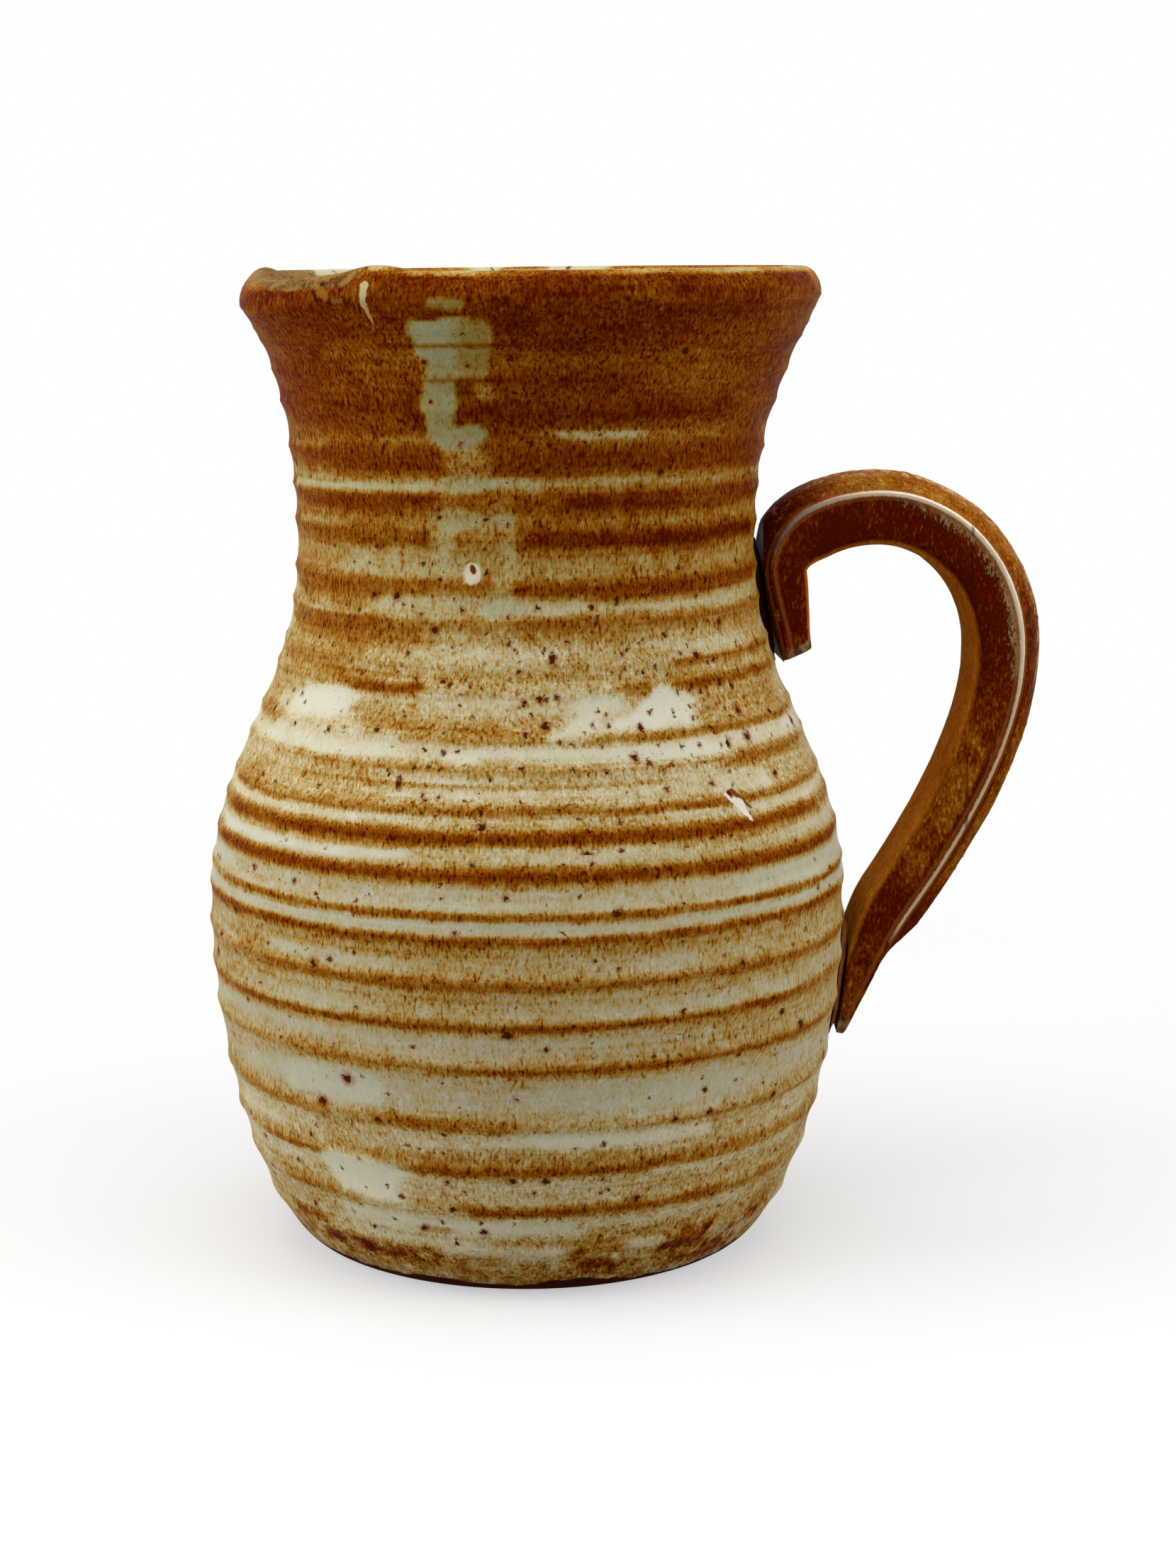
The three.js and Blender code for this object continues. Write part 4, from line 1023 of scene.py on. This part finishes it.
class Nodes:
    """Adds shader nodes to one tree. What feeds them is a fixed value or another node's output."""

    def __init__(self, tree):
        self.tree = tree

    def add(self, kind):
        return self.tree.nodes.new("ShaderNode" + kind)

    def feed(self, value, socket):
        if isinstance(value, bpy.types.NodeSocket):
            self.tree.links.new(value, socket)
        elif value is not None:
            socket.default_value = value

    def math(self, operation, *values, clamp=False):
        node = self.add("Math")
        node.operation = operation
        node.use_clamp = clamp
        for value, socket in zip(values, node.inputs):
            self.feed(value, socket)
        return node.outputs[0]

    def times(self, value, *others):
        for other in others:
            value = self.math("MULTIPLY", value, other)
        return value

    def most(self, value, *others):
        for other in others:
            value = self.math("MAXIMUM", value, other)
        return value

    def plus(self, value, *parts):
        """The value with each part added, as [part, weight]."""
        for part, weight in parts:
            value = self.math("MULTIPLY_ADD", part, weight, value)
        return value

    def ranged(self, value, from_low, from_high, to_low=0, to_high=1):
        """Smoothly maps a value from one range to another, held at its ends."""
        node = self.add("MapRange")
        node.interpolation_type = "SMOOTHSTEP"
        names = ("Value", "From Min", "From Max", "To Min", "To Max")
        for name, given in zip(names, (value, from_low, from_high, to_low, to_high)):
            self.feed(given, node.inputs[name])
        return node.outputs[0]

    def band(self, value, start, full, fading, end):
        """1 from full to fading, falling smoothly to 0 at start and at end."""
        return self.times(self.ranged(value, start, full), self.ranged(value, fading, end, 1, 0))

    def noise(self, place, scale, detail, roughness):
        node = self.add("TexNoise")
        settings = {"Vector": place, "Scale": scale, "Detail": detail, "Roughness": roughness}
        for name, value in settings.items():
            self.feed(value, node.inputs[name])
        return node.outputs["Fac"]

    def mixed(self, factor, first, second, blend="MIX"):
        """Mixes two colours. A colour of three parts is written as it looks on screen."""
        node = self.add("Mix")
        node.data_type = "RGBA"
        node.blend_type = blend
        for value, place in ((factor, 0), (first, 6), (second, 7)):
            if isinstance(value, tuple) and len(value) == 3:
                value = colour(*value)
            self.feed(value, node.inputs[place])
        return node.outputs[2]

    def tinted(self, factor, base, tint):
        return self.mixed(factor, base, tint, "MULTIPLY")

    def attribute(self, name):
        node = self.add("Attribute")
        node.attribute_name = name
        return node.outputs["Fac"]

    def stretched_place(self, scale):
        """Object coordinates, stretched, so that a noise on them comes out as grain or streaks."""
        node = self.add("Mapping")
        self.feed(self.add("TexCoord").outputs["Object"], node.inputs["Vector"])
        node.inputs["Scale"].default_value = scale
        return node.outputs["Vector"]

    def vector(self, operation, first, second=None):
        node = self.add("VectorMath")
        node.operation = operation
        self.feed(first, node.inputs[0])
        self.feed(second, node.inputs["Scale"] if operation == "SCALE" else node.inputs[1])
        return node.outputs["Value" if operation in ("DOT_PRODUCT", "LENGTH") else "Vector"]

    def group(self, group, **values):
        """Places a node group, with a value for each of its inputs that is named."""
        node = self.add("Group")
        node.node_tree = group
        for name, value in values.items():
            self.feed(value, node.inputs[name.replace("_", " ")])
        return node.outputs

    def mixed_shaders(self, factor, first, second, output):
        """Mixes two shaders into the tree's output."""
        node = self.add("MixShader")
        for value, socket in zip((factor, first, second), node.inputs):
            self.feed(value, socket)
        self.feed(node.outputs[0], self.tree.nodes[output].inputs["Surface"])

    def background_rays(self):
        """1 for rays that show the white background: from the camera, reflected or passed through."""
        rays = self.add("LightPath").outputs
        return self.most(rays["Is Camera Ray"], rays["Is Glossy Ray"], rays["Is Transmission Ray"])


def new_group(name, inputs, outputs, kind="Float"):
    """An empty node group. Each input has the number it starts from, or None if it is a vector."""
    group = bpy.data.node_groups.new(name, "ShaderNodeTree")
    for label, value in inputs.items():
        socket_type = "NodeSocketVector" if value is None else "NodeSocketFloat"
        socket = group.interface.new_socket(label, in_out="INPUT", socket_type=socket_type)
        if value is not None:
            socket.default_value = value
    for label in outputs:
        group.interface.new_socket(label, in_out="OUTPUT", socket_type="NodeSocket" + kind)
    given = group.nodes.new("NodeGroupInput").outputs
    result = group.nodes.new("NodeGroupOutput").inputs
    return Nodes(group), given, result


def grain_group():
    """Fine upright grain, broader mottling and level streaks of a glaze, from -0.5 to 0.5, with
    the scattered upright flecks that stand out of it, 0 to 1."""
    scales = {"Grain Scale": 1500, "Mottle Scale": 260, "Streak Scale": 700, "Fleck Scale": 1500}
    names = ("Grain", "Mottle", "Streak", "Light Fleck", "Dark Fleck")
    nodes, given, result = new_group("Glaze grain", scales, names)
    # How each noise is stretched, its detail and its roughness
    noises = {"Grain": ((1, 1, 0.5), 2, 0.75), "Mottle": ((1, 1, 0.8), 4, 0.65),
              "Streak": ((0.045, 0.045, 1), 3, 0.6)}
    for name, (stretch, detail, roughness) in noises.items():
        noise = nodes.noise(nodes.stretched_place(stretch), given[name + " Scale"], detail, roughness)
        nodes.feed(nodes.math("SUBTRACT", noise, 0.5), result[name])
    flecks = nodes.noise(nodes.stretched_place((1, 1, 0.36)), given["Fleck Scale"], 1, 0.5)
    nodes.feed(nodes.ranged(flecks, 0.57, 0.68), result["Light Fleck"])
    nodes.feed(nodes.ranged(flecks, 0.43, 0.33), result["Dark Fleck"])
    return nodes.tree


def wrapped_place(degrees, height):
    """Where a spot of the outside lies on the wrapped place, for degrees right of the front."""
    radius = wall_radius(np.array(float(height)))
    x, y, z = formed_point(radius, np.array(FRONT + math.radians(degrees)), np.array(float(height)))
    return (WRAP_RADIUS * math.atan2(-y, -x), float(z), 0)


def wrapped_place_group():
    """Place on the body in millimetres round and up, a little jittered, so that a flat pattern
    wraps round it. The pattern's two ends meet behind the handle."""
    nodes, given, result = new_group("Wrapped place", {"Jitter": 1}, ("Place",), "Vector")
    place = nodes.add("TexCoord").outputs["Object"]
    parts = nodes.add("SeparateXYZ")
    nodes.feed(place, parts.inputs[0])
    turn = nodes.math("ARCTAN2", nodes.times(parts.outputs["Y"], -1), nodes.times(parts.outputs["X"], -1))
    round_way = nodes.times(turn, WRAP_RADIUS)
    up_way = nodes.times(parts.outputs["Z"], MILLIMETRES)
    joined = nodes.add("CombineXYZ")
    for axis, way, scale in (("X", round_way, 1100), ("Y", up_way, 1300)):
        noise = nodes.math("SUBTRACT", nodes.noise(place, scale, 1, 0.5), 0.5)
        nodes.feed(nodes.math("ADD", way, nodes.times(noise, given["Jitter"])), joined.inputs[axis])
    nodes.feed(joined.outputs[0], result["Place"])
    return nodes.tree


def speck_group():
    """Iron specks: scattered dots of different sizes with a halo, and many of the cells empty."""
    inputs = {"Place": None, "Scale": 0.2, "Size": 0.1, "Share": 0.3}
    nodes, given, result = new_group("Iron specks", inputs, ("Mask", "Halo"))
    cells = nodes.add("TexVoronoi")
    cells.voronoi_dimensions = "2D"
    nodes.feed(given["Place"], cells.inputs["Vector"])
    nodes.feed(given["Scale"], cells.inputs["Scale"])
    chance = nodes.add("SeparateColor")
    nodes.feed(cells.outputs["Color"], chance.inputs[0])
    there = nodes.math("LESS_THAN", chance.outputs[0], given["Share"])
    part = nodes.plus(0.45, (nodes.math("POWER", chance.outputs[1], 2), 0.85))
    size = nodes.times(given["Size"], part)
    # The halo reaches further out than the dot and is softer
    for name, reach, firmness in (("Mask", 1, 3), ("Halo", 2.1, 1.5)):
        wide = nodes.times(size, reach)
        depth = nodes.math("DIVIDE", nodes.math("SUBTRACT", wide, cells.outputs["Distance"]), wide)
        dot = nodes.math("MULTIPLY", depth, firmness, clamp=True)
        nodes.feed(nodes.times(dot, there), result[name])
    return nodes.tree


def short_mark_group():
    """A short mark on the wrapped place, from a start to an end, that tapers towards its end."""
    inputs = {"Place": None, "Start": None, "End": None, "Half Width": 0.5, "Taper": 0.7, "Softness": 0.3}
    nodes, given, result = new_group("Short mark", inputs, ("Mask",))
    away = nodes.vector("SUBTRACT", given["Place"], given["Start"])
    run = nodes.vector("SUBTRACT", given["End"], given["Start"])
    reached, whole = nodes.vector("DOT_PRODUCT", away, run), nodes.vector("DOT_PRODUCT", run, run)
    along = nodes.math("DIVIDE", reached, whole, clamp=True)
    distance = nodes.vector("LENGTH", nodes.vector("SUBTRACT", away, nodes.vector("SCALE", run, along)))
    width = nodes.times(given["Half Width"], nodes.math("SUBTRACT", 1, nodes.times(along, given["Taper"])))
    depth = nodes.math("DIVIDE", nodes.math("SUBTRACT", width, distance), given["Softness"])
    nodes.feed(nodes.math("ADD", depth, 0.5, clamp=True), result["Mask"])
    return nodes.tree


def glaze_colour_group():
    """Turns how thin the glaze lies, 0 to 1, into its colour."""
    nodes, given, result = new_group("Iron glaze colour", {"Thinness": 0.5}, ("Colour",), "Color")
    ramp = nodes.add("ValToRGB")
    stops = ramp.color_ramp.elements
    for index, (place, shade) in enumerate(GLAZE_COLOURS):
        stop = stops[index] if index < 2 else stops.new(place)
        stop.position = place
        stop.color = colour(*shade)
    nodes.feed(given["Thinness"], ramp.inputs["Fac"])
    nodes.feed(ramp.outputs["Color"], result["Colour"])
    return nodes.tree


def new_material(name):
    material = bpy.data.materials.new(name)
    material.use_nodes = True
    return material, Nodes(material.node_tree), material.node_tree.nodes["Principled BSDF"]


def feed_shader(nodes, shader, base, rough, relief, depth, firmness):
    """Feeds a shader its colour, its roughness, and its fine relief with the depth in metres."""
    bump = nodes.add("Bump")
    bump.inputs["Distance"].default_value = depth
    bump.inputs["Strength"].default_value = firmness
    nodes.feed(relief, bump.inputs["Height"])
    nodes.feed(base, shader.inputs["Base Color"])
    nodes.feed(rough, shader.inputs["Roughness"])
    nodes.feed(bump.outputs["Normal"], shader.inputs["Normal"])


def body_thinness(nodes, grain):
    """How thin the body's glaze looks: the coat laid on the mesh, with the grain of the glaze."""
    coat = nodes.attribute("coat")
    # The grain is faint where the glaze is thick, and faintest in the run on the neck
    faint = nodes.ranged(nodes.attribute("calm"), 0, 1, 1, 0.45)
    busy = nodes.times(nodes.ranged(coat, 0.03, 0.34, 0.16, 1), nodes.ranged(coat, 0.5, 0.76, 1, 0.66), faint)
    weights = {"Grain": 0.8, "Mottle": 0.55, "Streak": 0.34}
    thin = nodes.plus(coat, *[(nodes.times(grain[name], busy), weight) for name, weight in weights.items()])
    # Small crusts close to the foot
    crust = nodes.times(nodes.attribute("crust"), nodes.ranged(coat, 0.3, 0.6), grain["Mottle"])
    thin = nodes.plus(thin, (crust, 1.7))
    # Orange flecks stand out of the thin glaze and brown ones out of the pale
    light = nodes.times(grain["Light Fleck"], nodes.ranged(coat, 0.5, 0.75, 0, 0.11))
    dark = nodes.times(grain["Dark Fleck"], nodes.ranged(coat, 0.1, 0.3, 0.03, 0.25), faint)
    return nodes.math("ADD", nodes.math("SUBTRACT", thin, light), dark)


def speckled(nodes, kinds, glaze):
    """Lays large, small and dust-like iron specks over the glaze. Gives their mask too."""
    place = nodes.group(kinds["wrapped"], Jitter=SPECK_JITTER)["Place"]
    often = nodes.attribute("speck_share")
    shares = (often, nodes.times(often, SMALL_SPECKS_SHARE), DUST_SHARE)
    dots = zip((LARGE_SPECKS, SMALL_SPECKS, SPECK_DUST), shares)
    large, small, dust = [nodes.group(kinds["specks"], Place=place, Scale=scale, Size=size, Share=there)
                          for (scale, size), there in dots]
    halo = nodes.most(large["Halo"], nodes.times(small["Halo"], 0.8))
    glaze = nodes.mixed(nodes.times(halo, 0.9), glaze, SPECK_HALO)
    specks = nodes.most(large["Mask"], nodes.times(small["Mask"], 0.85), nodes.times(dust["Mask"], 0.5))
    return nodes.mixed(nodes.times(specks, 0.95), glaze, SPECK_BROWN), specks


def short_marks(nodes, kinds, glaze):
    """Lays the chip, the blister's pit and the marks of the lip over the glaze."""
    place = nodes.group(kinds["wrapped"], Jitter=MARK_JITTER)["Place"]
    for start, end, half_width, taper, shade, strength in SHORT_MARKS:
        ends = {"Start": wrapped_place(*start), "End": wrapped_place(*end)}
        mark = nodes.group(kinds["mark"], Place=place, Half_Width=half_width, Taper=taper, **ends)
        glaze = nodes.mixed(nodes.times(mark["Mask"], strength), glaze, shade)
    return glaze


def body_material(kinds):
    material, nodes, shader = new_material("Mottled iron and cream glaze")
    scales = {"Grain_Scale": 1500, "Mottle_Scale": 330, "Streak_Scale": 900, "Fleck_Scale": 1700}
    grain = nodes.group(kinds["grain"], **scales)
    thin = body_thinness(nodes, grain)
    glaze = nodes.group(kinds["colour"], Thinness=thin)["Colour"]
    # Thick glaze is more olive on the neck and cooler in the run; on the belly it is greyed with painted
    # shade, as the belly gets less of the light from above than the shoulder
    olive = nodes.times(nodes.attribute("olive"), nodes.ranged(thin, 0.1, 0.6, 0.75, 0.1))
    grey = nodes.times(nodes.attribute("belly"), nodes.ranged(thin, 0.1, 0.5, 1, 0.1))
    glaze = nodes.tinted(olive, glaze, OLIVE_TINT)
    glaze = nodes.tinted(grey, glaze, BELLY_SHADE_TINT)
    glaze = nodes.tinted(nodes.attribute("calm"), glaze, RUN_TINT)
    # The worn grey top of the pouring lip
    wear = nodes.plus(nodes.attribute("lip_wear"), (grain["Mottle"], 1.6))
    worn = nodes.plus(grain["Grain"], (grain["Mottle"], 1.2))
    wear_shade = nodes.mixed(nodes.ranged(worn, -0.25, 0.25), WORN_LIP_DARK, WORN_LIP_PALE)
    glaze = nodes.mixed(nodes.ranged(wear, 0.5, 0.9, 0, 0.9), glaze, wear_shade)
    glaze, specks = speckled(nodes, kinds, glaze)
    glaze = short_marks(nodes, kinds, glaze)
    # The bare clay of the foot
    clay = nodes.mixed(nodes.ranged(grain["Mottle"], -0.2, 0.2), FOOT_CLAY_DARK, FOOT_CLAY_PALE)
    bare = nodes.ranged(nodes.plus(nodes.attribute("bare"), (grain["Mottle"], 0.8)), 0.4, 0.6)
    rough = nodes.plus(nodes.ranged(thin, 0.1, 0.9, 0.4, 0.52), (grain["Grain"], 0.25))
    rough = nodes.math("MULTIPLY_ADD", bare, 0.35, rough, clamp=True)
    relief = nodes.plus(nodes.times(grain["Mottle"], 0.8), (grain["Grain"], 0.6), (specks, -0.4))
    feed_shader(nodes, shader, nodes.mixed(bare, glaze, clay), rough, relief, depth=0.0003, firmness=0.5)
    shader.inputs["Specular IOR Level"].default_value = GLAZE_SHEEN
    shader.inputs["Specular Tint"].default_value = colour(255, 214, 160)
    return material


def handle_thinness(nodes, grain, broad, along, outer, inner, past):
    """How thin the handle's glaze looks: thinner and more orange on the crown, on the inner
    face, along the limb and on the toe."""
    crown = nodes.ranged(along, 0.13, 0.23, 0.12, -0.32)
    crown = nodes.math("ADD", crown, nodes.ranged(along, 0.36, 0.58, 0, 0.34))
    limb = nodes.times(nodes.band(along, 0.5, 0.62, 0.76, 0.84), nodes.ranged(past, 1.2, 3.5),
                       nodes.ranged(inner, 0, 0.6, 1, 0), nodes.ranged(broad["Mottle"], -0.16, 0.06))
    toe = nodes.times(nodes.ranged(along, 0.84, 0.92), nodes.ranged(broad["Mottle"], -0.1, 0.12))
    thin = nodes.plus(1.03, (broad["Mottle"], 0.7), (broad["Grain"], 0.3), (grain["Grain"], 0.8),
                      (grain["Light Fleck"], -0.14))
    return nodes.plus(thin, (inner, -0.36), (outer, crown), (limb, -0.38), (toe, -0.3))


def crumbed(nodes, grain, broad, glaze, along, outer, past):
    """Pale crumbs on the crown, more of them along its highest line over the arch and the bow."""
    crumbs = nodes.plus(nodes.times(grain["Grain"], 0.8), (grain["Mottle"], 1.2))
    crumbs = nodes.times(nodes.ranged(crumbs, 0.1, 0.3), outer, nodes.ranged(along, 0.4, 0.56, 0.75, 0.1))
    glaze = nodes.mixed(crumbs, glaze, CRUMB_CREAM)
    patchy = nodes.plus(nodes.times(grain["Grain"], 1.2), (broad["Grain"], 1.6))
    ridge = nodes.times(nodes.ranged(past, 5, 8.5), nodes.band(along, 0.14, 0.22, 0.5, 0.6), outer,
                        nodes.ranged(patchy, -0.1, 0.3, 0, 0.8))
    return nodes.mixed(ridge, glaze, CROWN_CREAM)


def beaded(nodes, grain, glaze, along, past):
    """The pale bead along the arris, widest over the arch and the bow, and the rust line below. The bead is
    the glaze thin on the arris with a painted highlight, creamiest on the arch.
    """
    wobble = nodes.plus(past, (grain["Grain"], 0.5))
    groove = nodes.band(wobble, 0.5, 0.9, 1.2, 1.9)
    glaze = nodes.mixed(nodes.times(groove, 0.5), glaze, GROOVE_RUST)
    narrowed = nodes.times(nodes.ranged(along, 0.46, 0.6, 0.72, 1), wobble)
    # The bead: glaze thin on the arris, with a painted highlight
    bead = nodes.times(nodes.ranged(narrowed, 0.3, 0.66, 1, 0), nodes.band(along, 0.1, 0.28, 0.84, 0.88))
    bead_colour_and_highlight = nodes.mixed(nodes.ranged(along, 0.4, 0.62), ARCH_BEAD_CREAM_AND_HIGHLIGHT, LIMB_BEAD_TAN_AND_HIGHLIGHT)
    return nodes.mixed(bead, glaze, bead_colour_and_highlight)


def handle_material(kinds):
    material, nodes, shader = new_material("Dark rust handle glaze")
    fine_scales = {"Grain_Scale": 1500, "Mottle_Scale": 300, "Streak_Scale": 400, "Fleck_Scale": 1500}
    broad_scales = {"Grain_Scale": 420, "Mottle_Scale": 80, "Streak_Scale": 200, "Fleck_Scale": 500}
    grain, broad = [nodes.group(kinds["grain"], **scales) for scales in (fine_scales, broad_scales)]
    along, outer = nodes.attribute("along"), nodes.attribute("outer_face")
    inner, past = nodes.attribute("inner_face"), nodes.attribute("past_arris")
    thin = handle_thinness(nodes, grain, broad, along, outer, inner, past)
    glaze = nodes.group(kinds["colour"], Thinness=thin)["Colour"]
    warm = nodes.times(inner, nodes.ranged(grain["Mottle"], -0.2, 0.2, 0.25, 0.6))
    glaze = nodes.mixed(warm, glaze, INNER_ORANGE)
    # Grey-green worn glaze just inside the arris on the outer quarter of the arch
    close = nodes.times(nodes.ranged(past, 0.6, 5.5, 1, 0), nodes.ranged(outer, 0.2, 0.6, 1, 0))
    worn = nodes.times(nodes.band(along, 0.24, 0.32, 0.5, 0.58), close)
    worn = nodes.plus(worn, (broad["Grain"], 0.6), (broad["Mottle"], 0.8), (grain["Grain"], 2.6))
    glaze = nodes.mixed(nodes.ranged(worn, 0.5, 1.15, 0, 0.8), glaze, WORN_ARCH)
    glaze = crumbed(nodes, grain, broad, glaze, along, outer, past)
    glaze = beaded(nodes, grain, glaze, along, past)
    place = nodes.stretched_place((MILLIMETRES, MILLIMETRES, MILLIMETRES))
    specks = nodes.group(kinds["specks"], Place=place, Scale=0.4, Size=0.14, Share=0.3)["Mask"]
    glaze = nodes.mixed(nodes.times(specks, 0.6), glaze, HANDLE_SPECK)
    # Clay shows at the cut end and at the toe's tip
    ends = nodes.most(nodes.ranged(along, 0, 0.03, 1, 0), nodes.ranged(along, 0.955, 0.99))
    ends = nodes.plus(ends, (broad["Grain"], 1.6))
    end_shade = nodes.mixed(nodes.ranged(grain["Mottle"], -0.12, 0.12), END_CLAY_DARK, END_CLAY_PALE)
    glaze = nodes.mixed(nodes.ranged(ends, 0.55, 0.9, 0, 0.8), glaze, end_shade)
    # The inner face and the crown of the limb are matt
    matt = nodes.plus(inner, (outer, nodes.ranged(along, 0.5, 0.66)))
    rough = nodes.math("MULTIPLY_ADD", matt, 0.5, nodes.plus(0.45, (grain["Grain"], 0.3)), clamp=True)
    relief = nodes.plus(grain["Mottle"], (grain["Grain"], 0.6))
    feed_shader(nodes, shader, glaze, rough, relief, depth=0.0004, firmness=0.5)
    shader.inputs["Specular IOR Level"].default_value = GLAZE_SHEEN
    shader.inputs["Specular Tint"].default_value = colour(255, 200, 140)
    return material


def luting_material(name, dark, light, kinds):
    material, nodes, shader = new_material(name)
    grain = nodes.group(kinds["grain"], Grain_Scale=900, Mottle_Scale=400)
    shade = nodes.mixed(nodes.ranged(grain["Mottle"], -0.2, 0.2), dark, light)
    rough = nodes.math("MULTIPLY_ADD", grain["Grain"], 0.3, 0.72, clamp=True)
    feed_shader(nodes, shader, shade, rough, grain["Mottle"], depth=0.0004, firmness=0.7)
    shader.inputs["Specular IOR Level"].default_value = CLAY_SHEEN
    return material


# Stage, lamps and camera

FLOOR_HALF_SIZE = 6
FLOOR_GREY = (0.42, 0.41, 0.39, 1)
FLOOR_SEEN = (0.95, 0.95, 0.95, 1)
WHITE = (1, 1, 1, 1)
WORLD_STRENGTH = 0.32

# Each lamp: its place, the point it aims at, the side of its square and its power
LAMPS = {
    "left lamp": ((-0.95, -0.2, 0.5), (0, 0, 0.1), 0.8, 6.1),
    "right lamp": ((0.9, -0.36, 0.5), (0, 0, 0.11), 0.7, 3.8),
    "top lamp": ((0, -0.1, 1.05), (0, 0, 0.1), 0.9, 6.8),
}

CAMERA_DISTANCE = 0.650
CAMERA_HEIGHT = 0.220
CAMERA_SIDE = 0.0136
CAMERA_AZIMUTH = math.radians(-4)
CAMERA_DOWN = math.radians(10.31)
SENSOR_SIZE = 36
FOCAL_PIXELS = 4145
PHOTO_HEIGHT_PIXELS = 2212


def floor_material():
    """Pale floor that looks white to the camera and still keeps the pitcher's shadow."""
    material, nodes, shader = new_material("Pale floor")
    seen = nodes.background_rays()
    nodes.feed(nodes.mixed(seen, FLOOR_GREY, FLOOR_SEEN), shader.inputs["Base Color"])
    shader.inputs["Roughness"].default_value = 0.9
    shader.inputs["Specular IOR Level"].default_value = 0
    white = nodes.add("Emission")
    white.inputs["Strength"].default_value = 1
    away = nodes.vector("LENGTH", nodes.add("TexCoord").outputs["Object"])
    whiteness = nodes.times(seen, nodes.ranged(away, 0.14, 0.5, 0.5, 1))
    nodes.mixed_shaders(whiteness, shader.outputs[0], white.outputs[0], "Material Output")
    return material


def make_floor():
    mesh = bpy.data.meshes.new("floor")
    corners = [(x * FLOOR_HALF_SIZE, y * FLOOR_HALF_SIZE, 0) for x, y in ((-1, -1), (1, -1), (1, 1), (-1, 1))]
    mesh.from_pydata(corners, [], [(0, 1, 2, 3)])
    mesh.materials.append(floor_material())
    floor = bpy.data.objects.new("floor", mesh)
    bpy.context.scene.collection.objects.link(floor)


def make_world():
    world = bpy.data.worlds.new("White studio")
    world.use_nodes = True
    nodes = Nodes(world.node_tree)
    light, seen = world.node_tree.nodes["Background"], nodes.add("Background")
    for background, strength in ((light, WORLD_STRENGTH), (seen, 1)):
        background.inputs["Color"].default_value = WHITE
        background.inputs["Strength"].default_value = strength
    nodes.mixed_shaders(nodes.background_rays(), light.outputs[0], seen.outputs[0], "World Output")
    bpy.context.scene.world = world


def make_lamp(name, place, aim, side, power):
    lamp = bpy.data.lights.new(name, "AREA")
    lamp.size = side
    lamp.energy = power
    holder = bpy.data.objects.new(name, lamp)
    holder.location = place
    holder.rotation_euler = (Vector(aim) - Vector(place)).to_track_quat("-Z", "Y").to_euler()
    bpy.context.scene.collection.objects.link(holder)


def make_camera():
    right = Vector((math.cos(CAMERA_AZIMUTH), math.sin(CAMERA_AZIMUTH), 0))
    level = Vector((-math.sin(CAMERA_AZIMUTH), math.cos(CAMERA_AZIMUTH), 0))
    ahead = level * math.cos(CAMERA_DOWN) + Vector((0, 0, -math.sin(CAMERA_DOWN)))
    upward = right.cross(ahead)
    lens = bpy.data.cameras.new("camera")
    lens.sensor_width = SENSOR_SIZE
    lens.sensor_fit = "AUTO"
    lens.lens = FOCAL_PIXELS / PHOTO_HEIGHT_PIXELS * SENSOR_SIZE
    lens.clip_start = 0.01
    lens.clip_end = 50
    camera = bpy.data.objects.new("camera", lens)
    place = right * CAMERA_SIDE - level * CAMERA_DISTANCE + Vector((0, 0, CAMERA_HEIGHT))
    turn = Matrix((right, upward, -ahead)).transposed()
    camera.matrix_world = Matrix.Translation(place) @ turn.to_4x4()
    bpy.context.scene.collection.objects.link(camera)
    bpy.context.scene.camera = camera


def dress(piece, material, node):
    piece.data.materials.append(material)
    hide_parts(node)
    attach(piece, "root")


kinds = {
    "grain": grain_group(),
    "wrapped": wrapped_place_group(),
    "specks": speck_group(),
    "mark": short_mark_group(),
    "colour": glaze_colour_group(),
}
dress(glazed_body(), body_material(kinds), "thrown_body")
dress(glazed_handle(), handle_material(kinds), "strap_handle")
upper_film = luting_film("upper_luting_film", UPPER_LUTING_WIDTH, UPPER_LUTING_BOTTOM, UPPER_LUTING_TOP, 101)
# The upper luting clay is near black: painted shade of the crevice between the strap and the neck
crevice_shade_clay = luting_material("Luting clay in painted crevice shade", (32, 8, 3), (52, 20, 8), kinds)
dress(upper_film, crevice_shade_clay, "upper_luting_clay")
lower_width = PRESSED_WIDTH + 2 * LUTING_MARGIN
lower_film = luting_film("lower_luting_film", lower_width, TOE_HEIGHT - LUTING_MARGIN, HEEL_HEIGHT, 102)
rust_clay = luting_material("Rust luting clay", (92, 40, 8), (136, 82, 32), kinds)
dress(lower_film, rust_clay, "lower_luting_clay")

make_floor()
make_world()
for name, settings in LAMPS.items():
    make_lamp(name, *settings)
make_camera()
bpy.context.scene.view_settings.view_transform = "Standard"
